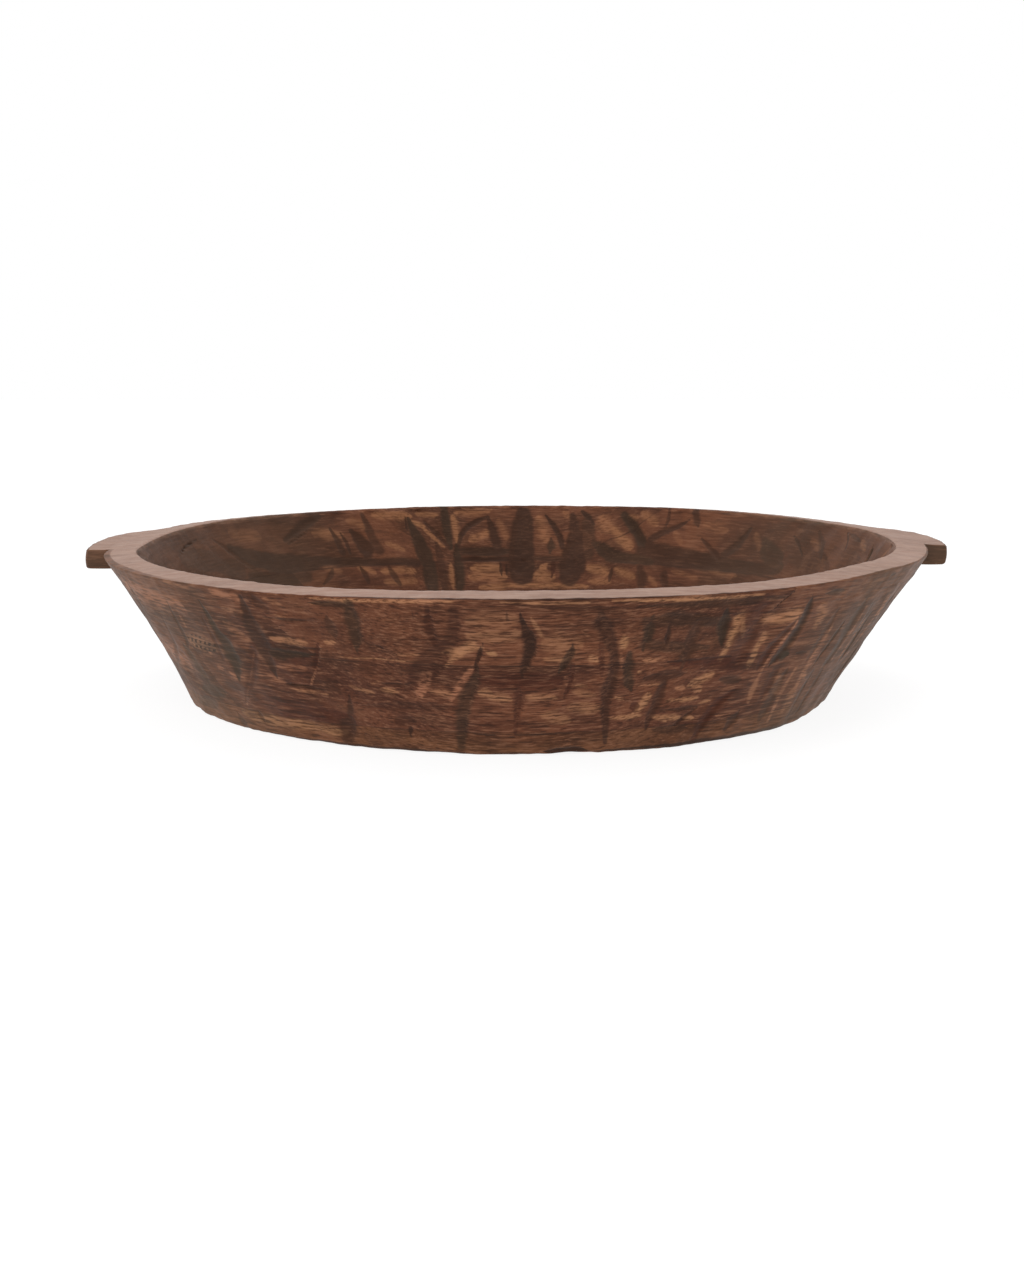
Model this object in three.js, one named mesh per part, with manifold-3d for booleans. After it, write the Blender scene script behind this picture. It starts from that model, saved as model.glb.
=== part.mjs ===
// A round carved wooden bowl with two lug handles, made the way it is made on the bench:
// planks are edge-glued into three layers, the layers are stacked and glued, and the
// bowl is then carved out of the stack. Each plank that is left after the carving is one
// mesh. The two upper layers are rings, because the hollow goes right through them; the
// bottom layer is a disc, and its upper face is the floor of the bowl.
//
// Millimetres, +Z up. The origin is the centre of the underside of the base.
// X runs from lug to lug, which is also the direction of the grain. -Y is the front.

import * as THREE from "three";
import { mergeVertices } from "three/addons/utils/BufferGeometryUtils.js";
import Module from "manifold-3d";

// ---- driving dimensions -------------------------------------------------------------
const HEIGHT = 107; // underside of the base to the inner edge of the rim
const RIM_OUTER_R = 292;
const RIM_INNER_R = 269.4;
const RIM_DROP = 2.2; // the rim's top face falls outwards by this much over its width
const RIM_EDGE = 1.6; // eased outer edge of the rim
const BASE_R = 228.5; // where the wall's cone would meet the underside
const BASE_EDGE = 4; // height of the eased edge round the underside
const BASE_FLAT_R = 225;
const FLOOR_Z = 14; // top of the floor
const FLOOR_FILLET = 20; // inside radius between floor and wall

const BASE_LAYER = 16; // thickness of the bottom boards
const WALL_LAYER_TOP = 62; // top of the middle layer
const BOARD_W = 159.3; // width of a full board
const GLUE = 0.3; // room for a glue line between two boards

const LUG_UNDERSIDE_Z = 90.8;
const LUG_FRONT_Y = -30; // the square shoulder at the front end of a lug
// Outline of a lug seen from above: angle from the X axis towards the back, and radius.
// It leaves the front shoulder square, follows the rim, and fairs back into it behind.
const LUG_OUTLINE = [
  [-5.58, 308.6], [-3, 309.9], [0, 310.8], [3, 311.4], [6, 311.6], [8, 311.4],
  [9.8, 310.6], [11.4, 309.3], [12.8, 307.6], [13.8, 305.6], [14.8, 303.4],
  [15.8, 300.9], [17, 298.4], [18.5, 296], [20.4, 293.6], [22.6, 292],
];
const LUG_ROOT_R = 277; // how far a lug's body is carried into the rim

const SEGMENTS = 96; // round the bowl
const SLOPE = (RIM_OUTER_R - BASE_R) / (HEIGHT - RIM_DROP); // radius gained per mm of height
const TOP_FALL = RIM_DROP / (RIM_OUTER_R - RIM_INNER_R);
const outerR = (z) => BASE_R + SLOPE * z;
const innerR = (z) => RIM_INNER_R - SLOPE * (HEIGHT - z);

// ---- booleans -----------------------------------------------------------------------
const wasm = await Module();
wasm.setup();

function solid(geometry) {
  const g = geometry.clone();
  g.deleteAttribute("normal");
  g.deleteAttribute("uv");
  const merged = mergeVertices(g, 1e-4);
  return new wasm.Manifold(
    new wasm.Mesh({
      numProp: 3,
      vertProperties: new Float32Array(merged.attributes.position.array),
      triVerts: new Uint32Array(merged.index.array),
    }),
  );
}

function geometryOf(manifold) {
  const m = manifold.getMesh();
  const g = new THREE.BufferGeometry();
  g.setAttribute("position", new THREE.BufferAttribute(new Float32Array(m.vertProperties), 3));
  g.setIndex(new THREE.BufferAttribute(new Uint32Array(m.triVerts), 1));
  const flat = g.toNonIndexed();
  flat.computeVertexNormals();
  return flat;
}

// A profile of [radius, height] pairs, from the axis and back to it, turned about Z.
function turned(profile) {
  const g = new THREE.LatheGeometry(
    profile.map(([r, z]) => new THREE.Vector2(r, z)),
    SEGMENTS,
  );
  g.rotateX(Math.PI / 2); // the lathe turns about Y
  const s = solid(g);
  if (s.volume() > 0) return s;
  const flipped = g.index.array;
  for (let i = 0; i < flipped.length; i += 3)
    [flipped[i + 1], flipped[i + 2]] = [flipped[i + 2], flipped[i + 1]];
  return solid(g);
}

function slab(x0, x1, y0, y1, z0, z1) {
  const g = new THREE.BoxGeometry(x1 - x0, y1 - y0, z1 - z0);
  g.translate((x0 + x1) / 2, (y0 + y1) / 2, (z0 + z1) / 2);
  return solid(g);
}

// ---- the carved form ----------------------------------------------------------------
// The outside: flat underside, eased base edge, straight conical wall, eased rim edge.
const rimTop = (r) => HEIGHT - (r - RIM_INNER_R) * TOP_FALL;
const outside = turned([
  [0, 0],
  [BASE_FLAT_R, 0],
  [BASE_FLAT_R + 3.2, 0.9],
  [outerR(BASE_EDGE) - 0.5, BASE_EDGE - 1],
  [outerR(BASE_EDGE + 1), BASE_EDGE + 1],
  [outerR(HEIGHT - RIM_DROP - RIM_EDGE), HEIGHT - RIM_DROP - RIM_EDGE],
  [RIM_OUTER_R, HEIGHT - RIM_DROP - 0.8],
  [RIM_OUTER_R - 0.7, HEIGHT],
  [0, HEIGHT],
]);

// The hollow: flat floor, a fillet, a straight wall, open at the top.
const wallLean = Math.atan(SLOPE);
const reach = FLOOR_FILLET * Math.tan((Math.PI / 2 - wallLean) / 2);
const hollowProfile = [[0, FLOOR_Z]];
{
  const startR = innerR(FLOOR_Z) - reach;
  const turn = Math.PI / 2 - wallLean;
  for (let i = 0; i <= 5; i++) {
    const a = (turn * i) / 5;
    hollowProfile.push([
      startR + FLOOR_FILLET * Math.sin(a),
      FLOOR_Z + FLOOR_FILLET * (1 - Math.cos(a)),
    ]);
  }
}
hollowProfile.push([innerR(HEIGHT), HEIGHT], [innerR(HEIGHT + 20), HEIGHT + 20], [0, HEIGHT + 20]);
const hollow = turned(hollowProfile);

// Everything above the rim's falling top face is cut away.
const topEnvelope = turned([
  [0, -5],
  [340, -5],
  [340, rimTop(340)],
  [RIM_INNER_R, HEIGHT],
  [0, HEIGHT],
]);

// One lug: its plan outline raised from the underside, trimmed later by the top face.
function lug(side) {
  const points = LUG_OUTLINE.map(([deg, r]) => {
    const a = THREE.MathUtils.degToRad(deg);
    return [r * Math.cos(a), r * Math.sin(a)];
  });
  points[0] = [points[0][0], LUG_FRONT_Y];
  const lastDeg = LUG_OUTLINE[LUG_OUTLINE.length - 1][0];
  for (const deg of [lastDeg, 16, 8, 0]) {
    const a = THREE.MathUtils.degToRad(deg);
    points.push([LUG_ROOT_R * Math.cos(a), LUG_ROOT_R * Math.sin(a)]);
  }
  points.push([LUG_ROOT_R, LUG_FRONT_Y]);
  const placed = points.map(([x, y]) => new THREE.Vector2(side * x, y));
  if (side < 0) placed.reverse();
  const g = new THREE.ExtrudeGeometry(new THREE.Shape(placed), {
    depth: HEIGHT + 5 - LUG_UNDERSIDE_Z,
    bevelEnabled: false,
    curveSegments: 1,
  });
  g.translate(0, 0, LUG_UNDERSIDE_Z);
  return solid(g);
}

const bowl = outside.add(lug(1)).add(lug(-1)).intersect(topEnvelope).subtract(hollow);

// ---- the boards ---------------------------------------------------------------------
const h = GLUE / 2;
const FAR = 400;
const inner = BOARD_W / 2; // joints of the rim and base layers beside the centre board
const outer = 1.5 * BOARD_W; // joints of the rim layer beside its narrow outer strips
const rim = { z0: WALL_LAYER_TOP + h, z1: HEIGHT + 20, colour: 0x6b4a38, rough: 0.5 };
const wall = { z0: BASE_LAYER + h, z1: WALL_LAYER_TOP - h, colour: 0x61412f, rough: 0.5 };
const base = { z0: -10, z1: BASE_LAYER - h, colour: 0x5a3d2c, rough: 0.55 };

// name, layer, y from, y to, and the side of the hollow it lies on (0 where it is whole)
const BOARDS = [
  ["rim_front_strip", rim, -FAR, -outer, 0],
  ["rim_front_left_board", rim, -outer, -inner, -1],
  ["rim_front_right_board", rim, -outer, -inner, 1],
  ["rim_lug_left_board", rim, -inner, inner, -1],
  ["rim_lug_right_board", rim, -inner, inner, 1],
  ["rim_back_left_board", rim, inner, outer, -1],
  ["rim_back_right_board", rim, inner, outer, 1],
  ["rim_back_strip", rim, outer, FAR, 0],
  ["wall_front_board", wall, -FAR, -BOARD_W, 0],
  ["wall_front_left_board", wall, -BOARD_W, 0, -1],
  ["wall_front_right_board", wall, -BOARD_W, 0, 1],
  ["wall_back_left_board", wall, 0, BOARD_W, -1],
  ["wall_back_right_board", wall, 0, BOARD_W, 1],
  ["wall_back_board", wall, BOARD_W, FAR, 0],
  ["base_front_board", base, -FAR, -inner, 0],
  ["base_centre_board", base, -inner, inner, 0],
  ["base_back_board", base, inner, FAR, 0],
];

const root = new THREE.Group();
for (const [name, layer, y0, y1, side] of BOARDS) {
  const block = slab(
    side > 0 ? 0 : -FAR,
    side < 0 ? 0 : FAR,
    y0 === -FAR ? y0 : y0 + h,
    y1 === FAR ? y1 : y1 - h,
    layer.z0,
    layer.z1,
  );
  const mesh = new THREE.Mesh(
    geometryOf(bowl.intersect(block)),
    new THREE.MeshStandardMaterial({ color: layer.colour, roughness: layer.rough, metalness: 0 }),
  );
  mesh.name = name;
  root.add(mesh);
}

export default root;
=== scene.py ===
# A carved wooden bowl: one carved surface is worked out on a fine grid, with every gouge
# cut into it, and is then cut along the joints into the boards it is glued up from.
import math

import bmesh
import bpy
import numpy as np
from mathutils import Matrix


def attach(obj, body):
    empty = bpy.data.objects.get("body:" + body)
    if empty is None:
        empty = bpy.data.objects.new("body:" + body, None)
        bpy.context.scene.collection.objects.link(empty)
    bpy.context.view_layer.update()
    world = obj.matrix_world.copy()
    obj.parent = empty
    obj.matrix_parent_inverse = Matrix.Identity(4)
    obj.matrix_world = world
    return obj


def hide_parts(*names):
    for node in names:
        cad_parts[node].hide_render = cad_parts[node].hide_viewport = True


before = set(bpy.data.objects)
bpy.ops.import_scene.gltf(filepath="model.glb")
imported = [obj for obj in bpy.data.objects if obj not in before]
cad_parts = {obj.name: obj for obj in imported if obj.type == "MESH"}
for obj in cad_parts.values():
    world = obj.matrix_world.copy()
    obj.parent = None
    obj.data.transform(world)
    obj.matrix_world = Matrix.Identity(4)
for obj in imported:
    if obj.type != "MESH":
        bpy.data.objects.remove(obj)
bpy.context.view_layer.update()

# ------------------------------------------------------------------ sizes, millimetres
HEIGHT, RIM_OUT, RIM_IN, RIM_DROP = 107.0, 292.0, 269.4, 2.2
BASE_R, FLOOR_Z = 228.5, 14.0
SEAM_LOW, SEAM_HIGH, BOARD = 16.0, 62.0, 159.3
LUG_Z = 90.8
SLOPE = (RIM_OUT - BASE_R) / (HEIGHT - RIM_DROP)
FALL = RIM_DROP / (RIM_OUT - RIM_IN)
LEAN = math.atan(SLOPE)
LUG_OUTLINE = np.array([
    [-5.58, 308.6], [-3, 309.9], [0, 310.8], [3, 311.4], [6, 311.6], [8, 311.4],
    [9.8, 310.6], [11.4, 309.3], [12.8, 307.6], [13.8, 305.6], [14.8, 303.4],
    [15.8, 300.9], [17, 298.4], [18.5, 296], [20.4, 293.6], [22.6, 292]])
LUG_STEP = -5.58


def outer_r(z):
    return BASE_R + SLOPE * z


def inner_r(z):
    return RIM_IN - SLOPE * (HEIGHT - z)


def smooth(x):
    x = np.clip(x, 0.0, 1.0)
    return x * x * (3 - 2 * x)


# ------------------------------------------------------------------ columns of the grid
N = 1152
base_cols = [(i * 360.0 / N, -1.0) for i in range(N)]
steps = {1: LUG_STEP % 360.0, -1: (180.0 - LUG_STEP) % 360.0}
cols = [c for c in base_cols
        if all(abs((c[0] - s + 180) % 360 - 180) > 0.24 for s in steps.values())]
STEP_N = 11
for side, s in steps.items():
    for k in range(STEP_N):
        f = k / (STEP_N - 1)
        # towards the back is +theta on the right and -theta on the left
        cols.append(((s + side * (f - 0.5) * 0.22) % 360.0, f))
cols.sort()
theta_deg = np.array([c[0] for c in cols])
step_w = np.array([c[1] for c in cols])
M = len(cols)
theta = np.radians(theta_deg)
# angle from the X axis towards the back, for the lug on each side
phi = np.where(np.cos(theta) > 0, (theta_deg + 180) % 360 - 180, 180.0 - theta_deg)
lug_r = np.interp(phi, LUG_OUTLINE[:, 0], LUG_OUTLINE[:, 1], left=308.6, right=RIM_OUT)
in_lug = np.where(step_w >= 0, smooth(step_w), ((phi > LUG_STEP) & (phi < 22.6)).astype(float))
# the lug's front outer corner is rounded over
tc_ = np.clip((phi - LUG_STEP + .1) / .85, 0, 1)
lug_r = lug_r - 3.4 * (1 - np.sqrt(np.clip(1 - (1 - tc_) ** 2, 0, 1)))
lug_w = in_lug * smooth((lug_r - RIM_OUT) / 7.0)
lug_r = np.maximum(lug_r, RIM_OUT)


# ------------------------------------------------------------------ seeded smooth noise
def waves(seed, n, kt, kv):
    """A sum of plane waves: periodic round the bowl, free along the other axis."""
    rng = np.random.default_rng(seed)
    return [(int(rng.integers(kt[0], kt[1] + 1)), float(rng.uniform(-kv, kv)),
             float(rng.uniform(0, 2 * math.pi))) for _ in range(n)]


def wave_sum(ws, th, v):
    out = np.zeros(np.broadcast(th, v).shape)
    for k, q, p in ws:
        out += np.cos(k * th + q * v + p)
    return out / math.sqrt(len(ws) / 2)


# ------------------------------------------------------------------ rows of the grid
rows = []  # (kind, r, z) for a column with no lug; lug rows are worked out per column


def add(kind, r, z, extra=None):
    rows.append((kind, float(r), float(z), extra))


for r in np.concatenate([np.linspace(6, 216, 36), [219, 222]]):
    add("under", r, 0.0)
for a in np.linspace(0, math.pi / 2 - LEAN * 0.999, 6):
    # eased edge between the underside and the wall
    rad = 4.2
    c = math.tan((math.pi / 2 - LEAN) / 2) * rad
    add("edge", BASE_R - c + rad * math.sin(a), rad * (1 - math.cos(a)))
z_edge = rows[-1][2]
for z in np.linspace(z_edge + 1.2, LUG_Z, 64):
    add("wall", outer_r(z), z)
wall_last = len(rows) - 1

# the top of the wall and the lug, as one path with a fixed number of rows
NA, NK, NB, NE, NC = 9, 4, 8, 6, 19
path_rows = NA + NK + NB + NE + NC
for i in range(path_rows):
    add("path", 0, 0, i)
for a in np.linspace(0.25, 1.0, 4):
    add("inlip", 0, 0, a)
fil = 20.0
turn = math.pi / 2 - LEAN
start_r = inner_r(FLOOR_Z) - fil * math.tan(turn / 2)
z_fil = FLOOR_Z + fil * (1 - math.cos(turn))
for z in np.linspace(HEIGHT - 3.4, z_fil + 1.4, 56):
    add("inwall", inner_r(z), z)
for a in np.linspace(turn, 0, 9):
    add("fillet", start_r + fil * math.sin(a), FLOOR_Z + fil * (1 - math.cos(a)))
for r in np.linspace(start_r - 2.6, 5, 66):
    add("floor", r, FLOOR_Z)
R = len(rows)
kind = np.array([r[0] for r in rows])
PR = np.zeros((R, M))
PZ = np.zeros((R, M))
for i, (k, r, z, _) in enumerate(rows):
    PR[i, :] = r
    PZ[i, :] = z

# ease of the rim's outer edge, larger where it is worn
thr = theta
worn_edge = (1.5 + 0.45 * wave_sum(waves(11, 7, (3, 17), 0), thr, 0 * thr))
for c, w, a in ((257, 6.0, 1.3), (262, 5.0, 1.2), (246, 5, 0.5), (287, 7, 0.8), (300, 9, 0.5),
                (225, 6, 0.3), (70, 12, 0.9), (130, 9, 0.8), (20, 6, .6)):
    worn_edge += a * np.exp(-(((theta_deg - c + 180) % 360 - 180) / w) ** 2)
back = np.clip(np.sin(theta) * 3, 0, 1)
worn_edge = np.clip(worn_edge, 0.9, 3.6) * (1 - back) + (1.5 + .1 * np.cos(5 * theta)) * back


def rim_z(r):
    return HEIGHT - (r - RIM_IN) * FALL


def lerp(a, b, t):
    return a + (b - a) * t


path0 = wall_last + 1
wall_r0, wall_z0 = outer_r(LUG_Z), LUG_Z
zt_out = rim_z(RIM_OUT)
for n in range(path_rows):
    i = path0 + n
    # with no lug: on up the wall, round the eased edge, in over the rim
    e = worn_edge
    top_wall_z = zt_out - e
    if n < NA + NK + NB:
        t = (n + 1) / (NA + NK + NB)
        z0 = lerp(wall_z0, top_wall_z, t)
        r0 = outer_r(z0)
    elif n < NA + NK + NB + NE:
        t = (n - NA - NK - NB + 1) / NE
        # a quarter turn squeezed between the wall and the top face
        ang = t * (math.pi / 2 + LEAN)
        ra, za = outer_r(top_wall_z), top_wall_z
        rb = RIM_OUT - e * 1.05
        zb = rim_z(rb)
        s = np.sin(ang / (math.pi / 2 + LEAN) * math.pi / 2)
        c = 1 - np.cos(ang / (math.pi / 2 + LEAN) * math.pi / 2)
        # control point at the sharp corner
        rc, zc = RIM_OUT + 0 * e, zt_out + 0 * e
        r0 = (1 - t) ** 2 * ra + 2 * t * (1 - t) * rc + t * t * rb
        z0 = (1 - t) ** 2 * za + 2 * t * (1 - t) * zc + t * t * zb
    else:
        t = (n - NA - NK - NB - NE + 1) / (NC + 1)
        rb = RIM_OUT - e * 1.05
        r0 = lerp(rb, RIM_IN + 1.6, t)
        z0 = rim_z(r0)
    # with a lug: out under it, up its end, in over its top
    er = 1.9
    zl = rim_z(lug_r)
    if n < NA:
        t = (n + 1) / NA
        r1 = lerp(wall_r0, lug_r - er, t)
        z1 = LUG_Z + 0 * lug_r - 1.0 * np.sin(t * math.pi) * 0.25
    elif n < NA + NK:
        a = (n - NA + 1) / (NK + 1) * math.pi / 2
        r1 = lug_r - er + er * math.sin(a)
        z1 = LUG_Z + er * (1 - math.cos(a)) + 0 * lug_r
    elif n < NA + NK + NB:
        t = (n - NA - NK + 1) / NB
        r1 = lug_r + 0.5 * math.sin(t * math.pi)
        z1 = lerp(LUG_Z + er, zl - er, t)
    elif n < NA + NK + NB + NE:
        a = (n - NA - NK - NB + 1) / NE * math.pi / 2
        r1 = lug_r - er * (1 - math.cos(a))
        z1 = zl - er * (1 - math.sin(a))
    else:
        t = (n - NA - NK - NB - NE + 1) / (NC + 1)
        r1 = lerp(lug_r - er, RIM_IN + 1.6, t)
        z1 = rim_z(r1)
    PR[i, :] = lerp(r0, r1, lug_w)
    PZ[i, :] = lerp(z0, z1, lug_w)
lip0 = path0 + path_rows
for n in range(4):
    t = rows[lip0 + n][3]
    # the inner edge, slightly eased
    ra, za = RIM_IN + 1.6, rim_z(RIM_IN + 1.6)
    rb, zb = inner_r(HEIGHT - 1.9), HEIGHT - 1.9
    rc, zc = RIM_IN + 0.1, HEIGHT - 0.05
    PR[lip0 + n, :] = (1 - t) ** 2 * ra + 2 * t * (1 - t) * rc + t * t * rb
    PZ[lip0 + n, :] = (1 - t) ** 2 * za + 2 * t * (1 - t) * zc + t * t * zb

# ------------------------------------------------------------------ hand-made unevenness
TH = np.broadcast_to(theta, (R, M))
TD = np.broadcast_to(theta_deg, (R, M))


def bump_at(c, w, deg=TD):
    return np.exp(-(((deg - c + 180) % 360 - 180) / w) ** 2)


top_w = smooth((PZ - 45) / 55.0)  # how much a point follows the rim
low_w = smooth((40 - PZ) / 36.0) * (PR > 150)
is_in = np.isin(kind, ["inwall", "inlip", "fillet"])[:, None]
rim_wave = 0.55 * wave_sum(waves(21, 6, (2, 9), 0), TH, 0 * TH) * 0.6
# the rim stands a little higher at the right than at the left
dz = (2.0 * np.cos(TH) + rim_wave * 0.5 + 0.7 * bump_at(266, 9) - 0.8 * bump_at(238, 10)
      - 0.8 * bump_at(300, 12) + 0.7 * bump_at(322, 7)) * top_w
dr = 1.1 * wave_sum(waves(22, 7, (2, 8), 0), TH, 0 * TH) * top_w
dr += 0.9 * wave_sum(waves(23, 9, (3, 14), 0.02), TH, PZ) * np.clip(PR / 150, 0, 1) * 0.6
dr += -0.5 * bump_at(236, 20) * low_w + 2.4 * bump_at(300, 17) * low_w + 1.8 * bump_at(316, 10) * low_w
# it leans out further low down at the left, and a little less half way up at the right
on_out = (np.isin(kind, ["wall", "edge", "under"])[:, None]) * smooth((PR - 120) / 90)
dr += np.interp(PZ, [0, 12, 25, 40, 56], [4.2, 3.1, 1.7, .7, 0]) * bump_at(205, 27) * on_out
dr -= np.interp(PZ, [0, 20, 50, 70, 92], [.8, 1.8, 2.4, 2.0, 0]) * bump_at(350, 20) * on_out
dr += 2.6 * bump_at(190.5, 6.5) * smooth((PZ - 88) / 14) * (PR < RIM_OUT + 2) * (PR > RIM_OUT - 26)
dz = dz + (1.9 * bump_at(152, 26) - .8 * bump_at(35, 18)) * top_w
zlift = (0.2 * bump_at(244, 15) + .7 * bump_at(277.6, 3.6)) * low_w * smooth((PR - 205) / 22)
zlift *= (~np.isin(kind, ["floor", "fillet", "inwall"]))[:, None]
PR += dr * np.where(PR > 60, 1, 0)
lug_far = np.clip((PR - RIM_OUT) / 18, 0, 1) * lug_w[None, :]
PR -= lug_far * np.where(np.cos(TH) > 0, 1.5, -.6)
dz = dz + lug_far * np.where(np.cos(TH) > 0, 1.0, 1.9) * smooth((PZ - 94) / 8)
PZ += dz + zlift

# ------------------------------------------------------------------ positions and normals
X = PR * np.cos(TH) - 3.8 * np.clip(1 - PZ / 105, 0, 1)
Y = PR * np.sin(TH)
P = np.stack([X, Y, PZ], -1)
dj = np.roll(P, -1, 1) - np.roll(P, 1, 1)
di = np.empty_like(P)
di[1:-1] = P[2:] - P[:-2]
di[0] = P[1] - P[0]
di[-1] = P[-1] - P[-2]
NRM = np.cross(dj, di)
NRM /= np.maximum(np.linalg.norm(NRM, axis=2, keepdims=True), 1e-9)
# along the rows from the centre of the underside outwards, dj x di points outwards
if NRM[60, 0, 0] < 0:
    NRM = -NRM

# ------------------------------------------------------------------ gouges and strokes
# theta and z (below the rim) of both ends, width mm, depth mm, dark 0..1, hue -1 green..1 red, bend mm
OUT = [
    (243.2, -95, 245.6, -94, 12, 0.5, 0.8, 0.3, 0), (227.1, -91, 227.5, -98, 5, 0.4, 0.6, 0.4, 0),
    (237.5, -19, 246.3, -18.6, 2, 0.2, 0.75, 0, 0), (237.3, -38.6, 245.6, -38, 2.2, 0.2, 0.6, 0, 0),
    (236.8, -4, 238.6, -16, 9, 0.3, 0.5, 0, 0), (245, -6.5, 250.5, -7.4, 5, 0.3, 0.85, -0.2, 0),
    (246.8, -14, 247.2, -30, 8, 0.3, 0.5, -0.4, 0), (252.3, -59.4, 257.4, -60.2, 2.4, 0.3, 0.85, 0.2, 0),
    (252.5, -85, 256.2, -84, 10, 0.3, 0.6, 0.4, 0), (254.9, -89, 254.7, -95.5, 2.6, 0.6, 0.9, 0, 0),
    (262.3, -91.2, 270.3, -94.2, 1.7, 0.3, 0.9, 0, 0), (269.5, -93.2, 279.5, -91.8, 2, 0.3, 0.9, 0, 0),
    (264.8, -54, 277.5, -56, 13, 0.2, 0.6, 0.8, 0), (292, -14, 292.2, -50, 11, 0.5, 0.6, -0.3, 0),
    (290.5, -47, 303.5, -48, 8, 0.2, 0.7, 0.7, 0), (290, -45.4, 304, -45.8, 1.5, 0.2, 1, 0.4, 0),
    (304.9, -4, 302.7, -15.4, 1.6, 0.5, 1, 0, 0), (308, -49, 310.4, -50, 9, 0.8, 1, -0.7, 0),
    (311, -9.6, 314.8, -10.4, 5.6, 0.5, 0.7, -0.4, 0), (312, -58, 311.5, -98, 10, 0.6, 0.5, -0.4, 0),
    (316.2, -20, 315.4, -58, 7, 0.6, 0.5, 0.3, 0), (334.8, -55, 334, -92, 6, 1.2, 0.7, 0, 0),
    (340.5, -30, 339, -66, 6, 1.2, 0.7, 0.2, 0), (207.5, -8, 205.4, -40, 5, 0.7, 0.5, 0, 0),
    (202.5, -26, 200.4, -62, 5, 0.7, 0.5, 0.3, 0), (197.4, -40, 194.6, -84, 6, 0.9, 0.6, 0.3, 0),
    (212.6, -84, 220.5, -82, 14, 0.3, 0.6, -0.9, 0), (214.8, -50, 216.6, -78, 13, 0.5, 0.6, -0.9, 0),
    (207.5, -97, 216.5, -92, 11, 0.3, 0.5, -0.7, 0), (221, -96, 221.8, -107, 9, 0.3, 0.6, 0.2, 0),
    (226.5, -84, 247, -85, 17, 0.15, 0.6, 0.7, 0), (220.5, -77, 232, -76, 10, 0.15, 0.5, 0.5, 0),
    (248, -76, 262.4, -73, 7, 0.15, 0.6, 0.4, 0), (266, -84, 272, -84, 9, 0.15, 0.5, 0.6, 0),
    # in the line below, the first entry is dark paint along the chipped edge of the foot: a painted shadow in the
    # chip's undercut
    (274.6, -104.4, 281.4, -104.6, 6.5, .9, 1.25, 0, 0), (286.5, -76, 287.9, -74, 9, 0.3, 0.7, 0.6, 0),
    (291, -78.5, 298.5, -79.5, 3.2, 0.3, 0.8, 0.1, 0), (290.8, -93, 297, -94, 9, 0.2, 0.6, -0.2, 0),
    (286.8, -56, 293.2, -54, 8, 0.2, 0.7, 0.3, 0), (299, -60, 303.5, -64, 9, 0.3, 0.6, -0.5, 0),
    (273, -8, 283, -9, 4, 0.1, 0.5, 0.3, 0), (284, -8, 304, -8, 7, 0.15, 0.6, -0.4, 0),
    # in the line below, the second entry and the entry on the line after it are dark lines painted along the bottom of
    # the foot: painted contact shadow
    (240, -1.6, 300, -1.9, 2.6, 0, 0.95, 0.3, 0), (281, -105.4, 322, -105.4, 5, 0, .95, -.2, 0),
    (226, -106, 264, -106.2, 3.6, 0, .8, 0, 0),
]
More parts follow.
